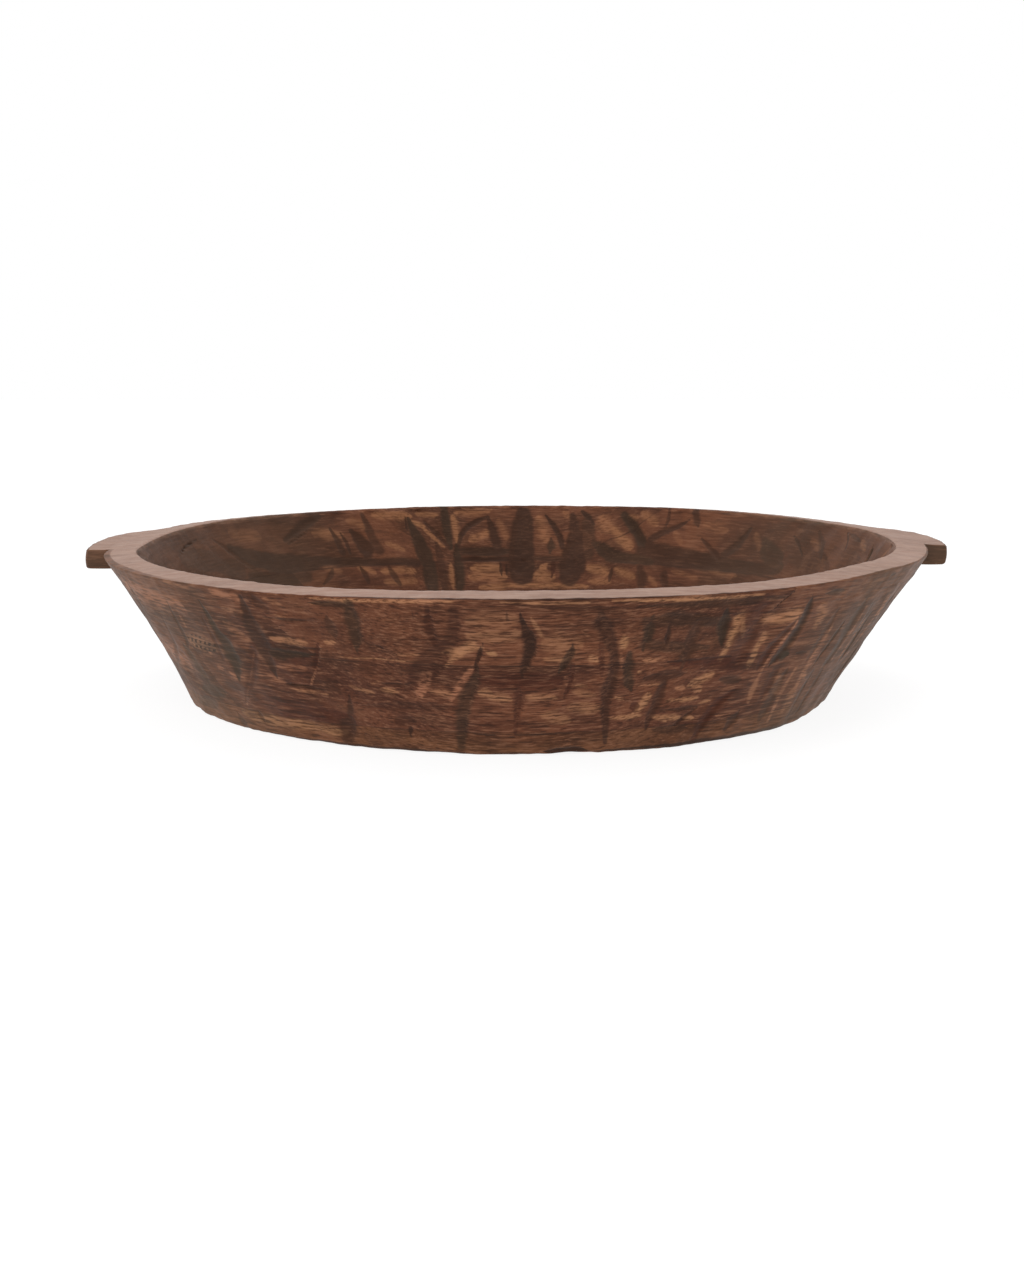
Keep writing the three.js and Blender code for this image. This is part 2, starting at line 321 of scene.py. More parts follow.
# where the stain is worn or was wiped thin: ends, width, strength, and hue 1 = pink
OUT_LIGHT = [
    (229.8, -5, 234.6, -8, 8, .7, .6), (230.5, -16, 234.2, -17, 6, .5, .2), (229.5, -26, 233, -38, 10, .5, .4),
    (237.0, -33.6, 242.6, -34.6, 6.5, .8, .2), (238.6, -6, 241.0, -9, 5, .55, .3), (238.5, -16.5, 241.5, -17.2, 2, .6, .2),
    (245.3, -33.5, 246.8, -33, 4, .9, .2), (241.9, -57, 240.6, -66, 2, .9, .4), (236, -54, 241, -53, 6, .45, .5),
    (231.6, -62, 236.2, -65, 7, .7, .5), (226.6, -66, 228.8, -68, 5, .85, .6), (217, -48, 221, -52, 5, .8, .4),
    (221.8, -52.5, 222.5, -53, 3, .9, .5), (222.0, -63, 223.4, -63, 5, .7, .6), (224.7, -65, 225.9, -68, 5, .8, .5),
    (216.0, -42, 218.4, -42.2, 2, .4, .3), (222.6, -94.5, 244, -97, 9, .62, -.2), (204, -14, 222, -20, 20, .8, .7), (198, -56, 213, -66, 24, .75, .6), (224.5, -96, 225.6, -96, 8, .6, -.5),
    (233, -92.8, 236, -92.6, 1.4, .8, -.2), (231, -83.5, 235, -84, 3, .5, .6), (238, -70.2, 241, -70.4, 1.4, .7, .2),
    (247, -42.2, 257.9, -43.0, 1.5, .95, -.1), (254.6, -38, 258, -38, 2.5, .6, 0), (250.3, -60, 251.6, -58, 1.4, .8, .2),
    (247, -63, 250.5, -66, 4, .6, .1), (251.9, -63, 254, -65, 5, .85, .1), (258.2, -51, 257.0, -66.5, 7, .8, .9),
    (258.8, -63, 261.6, -64.5, 6, .8, .3), (264.7, -45, 261.4, -69, 4.6, 1.0, .7), (261.0, -37, 265.8, -33, 5.5, .95, .1),
    (266.4, -36, 267.6, -38, 5, .8, -.2), (265.3, -63, 267.0, -64, 7, .9, .1), (266.6, -66.5, 269.6, -67.4, 8, 1.0, .1),
    (271.6, -65.5, 275.6, -67, 7, .9, .2), (264.0, -16, 270, -16, 15, .4, .2), (264, -25, 270.3, -25, 11, .5, .1),
    (271.6, -14, 273.0, -26, 3, .7, .1), (273.2, -30, 278, -32, 16, .45, .1), (273.5, -40.5, 276.3, -41.5, 5, .7, .1),
    (276.5, -53, 276.9, -58, 4, .9, .5), (278.0, -24, 278.7, -26.4, 1.7, 1.0, .4), (279.3, -39, 280.3, -42.6, 6, 1.0, .1),
    (277.8, -58.8, 279.8, -58.8, 1.8, .9, 0), (278, -63, 281, -66, 6, .45, 0), (283.0, -27, 283.4, -35, 6.4, .8, -.3),
    (283.2, -38, 283.7, -47, 3, .8, .5), (286.4, -43, 288.3, -44.4, 3.8, 1.0, .3), (288.3, -42.8, 289.9, -44, 1.8, .9, .3),
    (286.0, -50.6, 286.7, -51.6, 2.6, 1.0, 0), (287, -60.6, 290, -60.8, 1.8, .9, .3), (283.9, -67.4, 285.1, -69.6, 3.6, 1.0, .2),
    (288.6, -66, 287.8, -79, 5.6, .9, 0), (283.8, -82, 288.6, -82, 3.6, .85, 0), (277.6, -74, 282, -75, 10, .5, 0),
    (274, -78, 278, -84, 9, .45, 0), (297.6, -17, 298.1, -48, 5.4, .85, -.1), (298.6, -22, 299.8, -33, 4, .5, -.2),
    (303.3, -23, 308.1, -21, 13, 1.0, .2), (303.3, -32, 303.9, -38, 8, 1.0, .2), (303.1, -38, 303.5, -55, 5, .8, -.1),
    (308.4, -22, 306.5, -58, 2.2, .85, .6), (294.6, -64, 297.9, -56, 7, 1.0, .1), (292.6, -64, 294, -65, 5, .95, .3),
    (295.8, -64, 296.8, -68, 6, .8, .1), (291.8, -72.4, 297, -72.8, 4.2, .95, 0), (290.6, -83.4, 295, -85.6, 6, .8, -.1),
    (291.7, -86, 292.8, -87, 3, .9, 0), (295.9, -86.4, 297.4, -87, 4.2, .85, 0), (300.8, -67.4, 302.8, -69, 5, .3, .4),
    (306.4, -58, 307.2, -82, 5, .6, .3), (301.6, -87, 303.2, -86.6, 3, .7, .4), (297.5, -77, 299.3, -76, 3, .7, -.2),
    (311.2, -17, 313.6, -30, 11, .6, .2), (312.4, -30, 313.0, -34, 6, .5, .1), (316.4, -38, 317.2, -60, 8, .55, .7),
    (316.2, -66, 317.8, -70, 5, .8, .3), (316.2, -77, 317.6, -90, 11, .65, .3), (323.6, -32, 323.9, -58, 4, .6, .5),
    (326.8, -38, 327.2, -58, 3.6, .6, .4), (310.6, -62, 312.5, -78, 8, .5, .3), (330.5, -22, 332.8, -38, 7, .6, .4),
    (250, -3.8, 262.2, -3.4, 1.7, .8, .3), (268.6, -4.2, 277.6, -4.4, 1.8, .8, .2), (281.6, -3.4, 293, -4.6, 1.4, .9, .2),
    (290, -4.4, 296, -4.6, 1.8, .9, .2), (220.5, -4, 226, -5, 4, .5, .4), (245, -7.2, 250, -5.6, 3, .6, -.1),
]
INN = [
    (157.6, -15, 151.4, -42, 15, 0.4, 0.35, 0.1, 0), (150, -44, 139, -46, 8, 0.4, 0.6, 0, 0),
    (16.8, -4.6, 10.2, -9, 3, 0.5, 0.6, 0, 0), (160, -44, 152, -46, 6, 0.4, 0.5, 0, 0),
    (20, -22, 15, -38, 7, 0.6, 0.4, 0, 0),
]
INN_LIGHT = [
    (150, -10, 143, -16, 12, .55, .7), (131, -16, 124.6, -20, 11, .85, .3), (123, -8, 119.4, -14, 9, .6, .3),
    (131, -44, 127, -48, 8, .7, .6), (123, -46, 119.4, -52, 7, .9, .3), (118, -50, 110.8, -52, 8, .8, .1),
    (118, -59, 110.8, -60, 8, .6, .1), (117.6, -5, 110, -7, 9, .85, .1), (116, -28, 112.4, -35, 6, .65, 0),
    (110.2, -11, 107.6, -17, 5, 1, -.2), (108.4, -16, 104.2, -33, 4, .9, .1), (109, -5, 105, -7, 6, .8, 0),
    (102.0, -8, 101.4, -30, 7, .95, .1), (101.6, -5, 95.0, -5, 8, .7, .3), (99, -29, 95.0, -21, 8, .85, .2),
    (103.2, -47, 102.9, -67, 5, .85, .1), (98.8, -51, 92.8, -51, 9, 1, .1), (99.4, -58, 91.6, -58, 11, .85, .2),
    (97.2, -67, 90.6, -66, 7, .9, .1), (94.4, -3, 94.9, -3, 2.2, 1, .2), (93.4, -12, 91.6, -28, 8, .55, .7),
    (85.6, -9, 83.8, -30, 13, .9, .6), (84.4, -50, 83.4, -52, 10, 1, 0), (85.8, -58, 81.4, -58, 12, 1, 0),
    (92.6, -65.6, 74.0, -65.0, 6, 1, 0), (81, -5, 79.6, -10, 7, .6, .3), (73.8, -8, 71.4, -22, 15, .8, .4),
    (71.2, -18, 66.6, -34, 11, .95, .1), (68.6, -8, 66.5, -10, 6, .6, .2), (66, -4, 62.4, -15, 10, .62, .1),
    (74.8, -49, 70.2, -54, 10, .9, .1), (74.2, -60, 69.4, -61, 7, .7, .1), (69, -50, 64.2, -57, 8, .78, .1),
    (61, -55, 58.8, -62, 5, .5, .3), (73.2, -28, 73.4, -33, 1.4, 1, .2), (58.6, -19, 56.4, -28, 6, .4, .8),
    (53, -12, 47.5, -15, 11, .45, .9), (41.2, -14, 38.4, -26, 7, .35, .8), (48, -46, 41, -48, 6, .4, .2),
    (56.4, -49, 50, -53, 5, .4, .3), (26, -14, 22, -20, 7, .4, .6), (10, -8, 6, -14, 6, .5, -.2),
    (88.3, -14, 89.4, -34, 1.2, .8, .5), (87.0, -12, 88.2, -30, .9, .7, .5), (78.2, -16, 79.2, -28, 1.1, .7, .5),
]
# outlines of single cuts: strength, hue, depth mm, then theta, z below the rim, full width mm
CUTS_OUT = [
    (.58, .6, .8, (213.2, -32, 2, 212, -42, 4, 211.4, -54, 6, 208.5, -66, 6, 204, -76, 2)),
    (.68, .0, .7, (218.2, -18, 1.4, 217.8, -31, 3.4, 216.9, -46, 4.4, 215.1, -58, 2)),
    (.55, .5, .5, (225.2, -26, 2, 225.4, -40, 4, 224.6, -56, 3)),
    (.84, -.6, 1.0, (226.6, -13, 1.6, 226.8, -23, 4.5, 226.9, -33, 7, 227.7, -42, 12, 227.3, -53, 14, 226.9, -62, 9, 226.3, -69, 3)),
    (.80, .1, 1.0, (235, -6, 3, 234.9, -17, 8, 234.8, -29, 15, 234.8, -41, 17, 234.9, -51, 9, 234.9, -63, 2.4)),
    (.68, .6, .9, (233.2, -40, 6, 231.6, -52, 9, 229.8, -64, 9, 227.5, -75, 7, 225, -86, 2)),
    (.85, -.6, 1.2, (234.6, -44, 9, 237, -45, 10, 240, -43.5, 6, 243, -42.8, 1.5)),
    (.90, .1, 1.2, (235.4, -65.5, 1, 238, -66.5, 2.8, 241, -67, 2.8, 243.4, -68.3, 1)),
    (.70, .6, .8, (244.3, -34, 1.5, 243.6, -42, 4, 242.8, -50, 3, 242, -56, 1)),
    (.70, .2, 1.0, (246.6, -69, 1.5, 246, -80, 5, 244.6, -92, 12, 243.7, -104, 8)),
    (.66, -.8, .7, (250.2, -6, 6, 250.2, -18, 10, 250, -28, 9, 249.7, -38, 2)),
    (.80, .0, .5, (252, -33, 1, 252.8, -34, 1.8, 253.6, -35.5, 1)),
    (.60, .0, .5, (257.9, -9, 1.2, 257.9, -15, 1.4)),
    (.68, .5, .8, (259.6, -7, 3, 259.6, -18, 6, 259.9, -27, 5, 260.2, -34, 2)),
    (.60, .4, .8, (262.6, -8, 6, 262.6, -20, 8, 262, -30, 9, 259.8, -40, 17, 258, -50, 16, 256, -60, 8, 255, -64, 2)),
    (.85, .0, 1.0, (265.9, -30, 1, 265.5, -38, 3.5, 264.9, -46, 2, 265, -52, 1)),
    (.62, -.7, 1.0, (265.3, -46, 1.5, 264.7, -56, 7, 263.6, -66, 10, 262.9, -78, 9, 262.6, -90, 8, 262.3, -102, 5)),
    (.60, .0, .5, (268.6, -9, 1, 268.9, -16, 1.8)),
    (.92, .0, 1.7, (270.1, -9, 1, 270.7, -18, 3, 271.6, -28, 8, 271.7, -36, 9, 271.2, -46, 6, 270.7, -55, 1)),
    (.68, .6, 1.1, (270.4, -58, 3, 270.7, -68, 7, 270.5, -80, 4, 270.4, -92, 2)),
    (.75, -.6, .8, (277, -30, 1, 276.8, -37, 5, 276.2, -44, 6, 275.6, -50, 2)),
    (.62, .6, .6, (277.3, -44, 2.5, 277.4, -54, 3, 277.1, -62, 3, 276.8, -68, 1.5)),
    (.72, .0, 1.1, (279.6, -10, 3, 279.9, -18, 10, 281, -26, 9, 282.3, -38, 6, 282.9, -50, 8, 282.6, -62, 10,
                    282.7, -74, 6, 283.4, -86, 5, 284.1, -100, 2.5)),
    (.60, .6, .6, (280.2, -28, 2, 280.7, -38, 4, 281.3, -52, 3)),
    (.80, -.7, .9, (286, -15, 3, 286, -22, 8, 286.1, -30, 6, 286, -37, 2)),
    (.75, -.7, .9, (284.3, -38, 4, 284.6, -48, 8, 285.3, -58, 7, 286, -64, 2)),
    (.88, .0, .8, (288.4, -20, 1, 288.6, -28, 3.5, 288.9, -37, 1)),
    (.70, .1, .9, (290.4, -58, 4, 290.4, -70, 8, 290, -82, 6, 290, -92, 2)),
    (.85, -.7, 1.0, (295.4, -13, 3, 295.8, -22, 10, 296.6, -32, 5, 297.1, -38, 1.5)),
    (.55, .6, .8, (300.5, -10, 14, 300.6, -30, 16, 300.6, -45, 17, 300.8, -56, 10)),
    (.72, .6, .9, (308.2, -23, 1.5, 306.8, -32, 6, 305.8, -42, 9, 305.6, -52, 6, 305.5, -58, 2)),
    (.95, -.2, 1.5, (308.5, -9, 1, 309, -18, 7, 309.4, -30, 9, 308.9, -42, 10, 308.2, -50, 9, 307.4, -56, 2)),
    (.55, .6, .6, (309.5, -58, 6, 309.6, -70, 8, 309.4, -82, 3)),
    (.75, .0, .6, (306, -86, 2, 305.2, -92, 10, 304.6, -98, 4)),
    (.70, .6, .9, (303, -70, 3, 301, -78, 9, 299.4, -90, 8, 299, -103, 5)),
    (.75, .0, .8, (297.5, -80, 2, 295.5, -87, 4, 293.5, -96, 1.5)),
    (.70, .0, .4, (312, -50, 2, 313, -50, 2.4, 314, -50, 2)),
    (.98, .2, 1.4, (319.9, -30, 1.4, 319.3, -42, 4, 318.8, -52, 3.6, 318.2, -63, 1.4)),
    (.72, .1, 1.5, (322.5, -21, 3, 322.8, -30, 12, 322.6, -45, 12, 322.2, -60, 9, 322, -68, 2)),
    (.98, .2, 1.5, (328.6, -33, 1.8, 328.5, -45, 6, 328.2, -57, 6, 328, -68, 2)),
    (.85, .0, 1.2, (335.5, -18, 2, 334.8, -32, 6, 334, -46, 2)),
    (.60, .0, .9, (319.4, -66, 3, 319.4, -82, 6, 319.6, -100, 3)),
    (.60, .0, .9, (322.5, -68, 3, 322.6, -84, 5, 322.6, -99, 3)),
    (.65, .0, .4, (326, -7, 2.6, 327.2, -7, 2.6)),
    (.50, .0, .6, (326, -24, 2, 326.4, -32, 5, 326.2, -46, 3)),
    (.70, -.4, .3, (285.5, -18, 8, 289, -17, 12, 294, -20, 10)), (.55, -.6, .2, (286, -33, 8, 291, -36, 9, 295, -38, 4)),
]
EDGES_OUT = [
    (1, .1, 0, (245.4, -3.8, 1.6, 252, -4.0, 2.4, 258, -3.8, 2.4, 262.6, -3.6, 1.6)),
    (.95, .1, 0, (268, -4.2, 1.4, 273, -4.6, 2.4, 278, -4.6, 1.6)),
    (1, 0, 0, (280.6, -3.8, 1.6, 286, -4.4, 2.6, 291, -4.8, 3.4, 296.5, -4.8, 3.0, 300, -4.6, 1.4)),
    (.95, .5, 0, (232.4, -47, 1.8, 230.3, -60, 1.8, 228.8, -68, 1.8, 226.5, -79, 1.8, 224.8, -88, 1.2)),
    (.90, .5, 0, (244.6, -36, 1.4, 243, -50, 1.6, 240.8, -65, 1.4)),
    (.90, .2, 0, (235.6, -68.2, 1.4, 241, -69.6, 1.6, 243.2, -70.6, 1.2)),
    (.90, .6, 0, (308.3, -18, 2, 308, -32, 2.4, 306.8, -44, 2.4, 306.4, -56, 2)),
    (.95, .6, 0, (258.9, -51, 3.4, 258.2, -60, 5, 257.4, -67, 2)), (1, .1, 0, (264.6, -31, 7, 263, -37, 6, 261.2, -45, 2)),
    (1, .6, 0, (264.7, -46, 1.4, 263.3, -54, 3.4, 262.3, -62, 4.4, 261.4, -70, 2)),
    (.9, 0, 0, (289.2, -67, 1.6, 288.4, -74, 4.4, 287, -81, 1.6)),
    (.9, 0, 0, (297.8, -19, 8, 297.8, -28, 6, 297.8, -38, 4, 297.7, -47, 3)),
    (.85, 0, 0, (303.4, -34, 5, 303.5, -50, 4)), (.8, .5, 0, (324.2, -26, 2, 324.4, -45, 2.4, 323.8, -62, 2)),
    (.8, .5, 0, (327.2, -36, 2, 327, -48, 2.4, 326.8, -62, 2)), (.7, .4, 0, (316.9, -34, 3, 316.4, -60, 5, 316.6, -92, 4)),
    (.8, .1, 0, (302.2, -22, 9, 305.4, -23, 12, 308, -21, 8)), (.7, .4, 0, (331.5, -24, 3, 331.3, -42, 4, 330.6, -62, 3)),
    (.7, .4, 0, (313.8, -60, 4, 313.6, -80, 5, 314, -98, 3)), (.7, .5, 0, (219.8, -20, 2, 219.2, -36, 3)),
    (.7, .3, 0, (222.6, -44, 4, 219.4, -44.6, 6, 217.8, -46, 4)),
]
CUTS_IN = [
    (.85, .0, 1.0, (137.4, -20, 4, 134.4, -14, 7, 131.4, -8, 9, 128.8, -3.6, 5)), (.60, .0, .6, (137, -23, 2, 132, -15, 2)),
    (.84, -.2, .3, (152, -22, 8, 146, -32, 14, 141, -38, 18, 135, -39, 15, 130, -39, 9, 125, -41, 8, 118, -43, 7, 110, -45, 7)),
    (.60, -.4, .2, (149, -44, 10, 142, -49, 12, 135, -50, 8)), (.45, -.4, .2, (168, -20, 14, 160, -26, 18, 152, -36, 16)),
    (.82, .0, .8, (127, -14, 2.5, 126, -24, 6, 125.6, -34, 5)), (.80, .0, .6, (125, -18, 2, 124.2, -26, 3.4, 124, -35, 2)),
    (.84, .0, 1.0, (122.6, -17, 4, 121.4, -24, 11, 120.2, -31, 14, 120.4, -38, 8)),
    (.72, .0, .8, (119.6, -5, 4, 118.8, -14, 6, 118.6, -24, 8, 117.6, -34, 9)),
    (.75, .0, .6, (111.2, -8, 1.2, 111.2, -18, 1.8)), (.72, .0, .6, (116.4, -46, 2, 115.6, -54, 5, 114.6, -62, 3)),
    (.86, -.5, 1.2, (110.6, -9, 3, 110, -18, 6, 109.2, -28, 10, 108.4, -38, 12, 107.6, -48, 11, 107.5, -60, 11, 107.4, -69, 9)),
    (.62, .2, .6, (105.6, -30, 3, 105.2, -42, 7, 105.0, -54, 7, 104.8, -68, 6)),
    (.80, .3, .7, (122.6, -46, 1, 121.8, -52, 5, 121.6, -59, 3)), (.66, .0, .5, (129, -46, 2, 129.8, -51, 5, 132, -57, 2)),
    (.84, -.6, .9, (103.6, -2, 6, 103.4, -12, 7, 103.2, -22, 7, 102.8, -34, 4)),
    (.70, .0, .7, (107.6, -12, 2, 105.4, -22, 4, 103, -33, 3)),
    (.88, -.5, 1.0, (101.6, -32, 3, 101.6, -40, 6, 101.4, -48, 8, 101.3, -58, 8, 101.6, -68, 7)),
    (.88, .0, .8, (101.4, -34, 3, 100.6, -24, 4, 99.2, -17, 4.4, 97.2, -12, 4.2, 95.2, -9, 2)),
    (.84, .0, .9, (95.2, -11, 3, 94.4, -20, 7, 93.7, -30, 8, 93.2, -38, 4)),
    (.88, -.3, .5, (100.4, -37, 7, 97, -38, 8, 93.4, -38, 8, 91.4, -38, 5)), (.90, .0, .6, (101, -44, 3.4, 97, -44, 4, 91.5, -44, 4)),
    (.85, .0, .6, (92.8, -48, 1.5, 92.7, -53, 2.6, 92.5, -58, 1)), (.85, .0, .6, (91.7, -48, 1, 91.5, -53, 2, 91.4, -58, 1)),
    (.60, .0, .5, (91.4, -26, 1, 91.4, -34, 1.5)),
    (.86, -.1, 1.3, (88.6, -7, 12, 88.6, -14, 16, 88.7, -26, 18, 88.6, -38, 20, 88.4, -50, 20, 88.3, -57, 17)),
    (.90, .0, 1.1, (84.3, -8, 2, 82.6, -16, 4.4, 81.2, -25, 5, 80.4, -34, 5)),
    (.72, -.6, .6, (82.9, -27, 2, 82.7, -33, 7, 82.9, -39, 2)), (.76, .0, .6, (79.2, -8, 5, 78.6, -18, 8, 78.4, -28, 10)),
    (.70, -.2, .3, (86.5, -43, 4, 82.5, -43.5, 5, 78, -43, 4)), (.84, .5, .7, (82, -46, 3, 81.8, -52, 4, 82, -59, 1.5)),
    (.86, .0, 1.0, (78, -26, 14, 77.9, -38, 20, 78, -50, 20, 78.2, -58, 16)),
    (.85, -.3, .8, (77.4, -5, 3, 76.2, -9, 4.4, 75, -15, 3)), (.60, -.4, .5, (76, -14, 9, 75.6, -26, 12, 75.4, -38, 12)),
    (.78, -.6, .8, (74.8, -30, 5, 72.6, -34, 9, 70.4, -40, 11, 66, -42, 9, 62, -42, 9)),
    (.90, -.5, 1.1, (69.4, -7, 6, 67.4, -15, 8, 65.4, -24, 8, 64, -32, 8)),
    (.65, .0, .6, (60.9, -1, 2, 60.6, -10, 3, 60.8, -17, 2)), (.74, .0, .4, (55.6, -2, 5, 54.6, -10, 6, 54, -14, 2)),
    (.78, .0, .8, (56.3, -9, 1.5, 58, -14, 4, 60.5, -19, 6, 63, -26, 6)),
    (.80, -.2, .6, (64, -33, 12, 60, -37, 16, 55, -39, 16, 50, -40, 14, 44, -41, 12, 38, -41, 10, 32, -40, 8)),
    (.66, .0, .8, (52.4, -23, 2, 50, -29, 4, 47.5, -35, 5, 45.5, -41, 3)),
    (.72, .0, .7, (63.6, -48, 5, 62.6, -56, 8, 62, -66, 6)), (.64, .0, .7, (58, -52, 6, 57, -60, 6)),
    (.78, .0, .4, (69.6, -50, 1.5, 69.6, -55, 3.5, 69.6, -60, 2)),
    (.80, .0, .8, (42.6, -12, 3, 43.2, -18, 5, 44.2, -26, 8, 46, -34, 8)),
    (.60, -.6, .3, (38, -20, 8, 36, -27, 15, 33, -33, 16, 31, -38, 10)),
    (.82, .0, .6, (31.6, -13, 1.6, 29.4, -18, 2.6, 26.6, -26, 1.6)), (.62, .0, .5, (25, -8, 3, 22, -17, 6, 20, -26, 3)),
    (.85, .0, .9, (168.6, -17, 1.4, 165.6, -13, 2.2, 160.4, -10.5, 1.4)), (.50, .0, .6, (155, -12, 2, 151, -26, 6, 148, -38, 5)),
    (.80, .0, .5, (16.6, -5, 1.2, 14.8, -10, 2, 13.4, -17, 1.4)),
]
rng = np.random.default_rng(7)


def scatter(n, t0, t1, z0, z1, tilt, length, width, depth, hue=0.6):
    out = []
    for k in range(n):
        t = t0 + (t1 - t0) * (k + rng.uniform(0, 1)) / n
        z = rng.uniform(z1, z0)
        half = rng.uniform(*length) / 2
        ang = rng.normal(0, tilt)
        dt = math.degrees(half * math.sin(ang) / 262)
        dzz = half * math.cos(ang)
        out.append((t - dt, z + dzz, t + dt, z - dzz, rng.uniform(*width), rng.uniform(*depth),
                    rng.uniform(.45, .98), rng.uniform(-hue, hue), rng.normal(0, 1.2)))
    return out


def scatter_light(n, t0, t1, z0, z1):
    out = []
    for k in range(n):
        t = t0 + (t1 - t0) * (k + rng.uniform(0, 1)) / n
        z = rng.uniform(z1, z0)
        if rng.uniform() < .5:
            # wiped thin along the grain
            L = rng.uniform(1.5, 6)
            out.append((t - L / 2, z, t + L / 2, z + rng.uniform(-2, 2), rng.uniform(2, 6), rng.uniform(.35, .8), rng.uniform(-.3, .6)))
        else:
            # the pale flank of a gouge
            L, v = rng.uniform(-1.6, 1.6), rng.uniform(6, 24)
            out.append((t - L / 2, z + v / 2, t + L / 2, z - v / 2, rng.uniform(2, 5.5), rng.uniform(.35, .85), rng.uniform(-.1, .7)))
    return out


OUT += scatter(60, -12, 190, -12, -90, .30, (18, 46), (4, 11), (.4, 1.35))
OUT += scatter(26, -12, 190, -8, -100, .30, (8, 18), (3, 7), (.4, 1.2))
OUT += scatter(12, -14, 190, -30, -95, 1.5, (20, 55), (2, 10), (.2, .8))
OUT_LIGHT += scatter_light(95, -12, 188, -6, -100)
INN += scatter(52, 174, 368, -10, -76, .45, (16, 46), (4, 12), (.5, 1.3))
INN += scatter(12, 174, 368, -30, -70, 1.4, (20, 50), (4, 10), (.3, .7))
INN += scatter(22, 10, 170, -80, -90, 1.1, (10, 20), (4, 10), (.4, 1.0))
INN_LIGHT += scatter_light(80, 174, 366, -6, -80) + scatter_light(20, 10, 170, -80, -86)

depth = np.zeros((R, M))
cut_e = np.full((R, M), -1.0)
cut_s = np.zeros((R, M))
cut_h = np.zeros((R, M))
lit_e = np.full((R, M), -1.0)
lit_s = np.zeros((R, M))
lit_h = np.zeros((R, M))
K = 1.0 / math.cos(LEAN)


def stroke_field(rsel, s0, light):
    """Cuts one stroke, given by theta and height below the rim, into the rows rsel."""
    if light:
        t0, z0, t1, z1, w, strength, hue = s0
        dep, bend = 0.0, 0.0
    else:
        t0, z0, t1, z1, w, dep, strength, hue, bend = s0
    tm = (t0 + t1) / 2
    zm = (z0 + z1) / 2
    rr = 262.0 + zm * 0.3
    zc = HEIGHT + zm
    r0, r1 = rsel
    zrow = PZ[r0:r1].mean(1)
    span = abs(z1 - z0) / 2 + w + 3
    pick = np.where(np.abs(zrow - zc) < span)[0]
    if len(pick) == 0:
        return
    a, b = r0 + pick[0], r0 + pick[-1] + 1
    reach = abs(t1 - t0) / 2 + math.degrees((w + abs(bend) + 3) / rr)
    d = (theta_deg - tm + 180) % 360 - 180
    c = np.where(np.abs(d) < reach)[0]
    if len(c) == 0:
        return
    rad = PR[a:b][:, c]
    u = np.radians(d[c])[None, :] * rad
    v = (HEIGHT - PZ[a:b][:, c] + dz[a:b][:, c] + zm) * K  # down the slope from the middle
    ux = math.radians(t1 - t0) * float(rad.mean())
    vx = -(z1 - z0) * K
    L = math.hypot(ux, vx) + 1e-6
    cx, sx = ux / L, vx / L
    al = (u * cx + v * sx) / L + 0.5
    la = -u * sx + v * cx
    la = la - bend * 4 * np.clip(al, 0, 1) * (1 - np.clip(al, 0, 1))
    tt = np.clip(al, 0.0, 1.0)
    if light:
        prof = np.sqrt(np.clip(1 - (2 * tt - 1) ** 2, 0, 1)) * .55 + .45
    else:
        # a leaf, blunt at one end, as a gouge leaves it
        prof = np.sin(np.pi * tt ** (0.8 if (int(abs(t0) * 10) % 2) else 1.25)) ** 0.62
    hw = np.maximum(w / 2 * prof, 0.35)
    over = np.maximum(np.abs(al - 0.5) - 0.5, 0) * L
    dist = np.hypot(la / hw, over / 1.4)
    e = np.clip(1 - dist, -1, 1)
    E, S, H = (lit_e, lit_s, lit_h) if light else (cut_e, cut_s, cut_h)
    sub = np.ix_(range(a, b), c)
    score = e + 0.25 * (strength - 0.7)
    best = score > (E[sub] + 0.25 * (S[sub] - 0.7))
    near = best & (e > -0.9)
    E[sub] = np.where(near, e, E[sub])
    S[sub] = np.where(near, strength, S[sub])
    H[sub] = np.where(near, hue, H[sub])
    if dep > 0:
        q = np.clip(la / hw, -1, 1)
        ins = (np.abs(la) < hw) & (al > 0) & (al < 1)
        # steeper on one side, as a chisel leaves it
        f = np.where(q < -0.35, (1 + q) / 0.65, (1 - q) / 1.35)
        f = .35 * np.sin(np.clip(f, 0, 1) * math.pi / 2) + .65 * smooth(f)
        ramp = smooth(tt / 0.16) * smooth((1 - tt) / 0.30)
        depth[sub] = np.maximum(depth[sub], np.where(ins, dep * f * ramp, 0)) + np.where(ins, 0.12 * dep * f * ramp, 0)


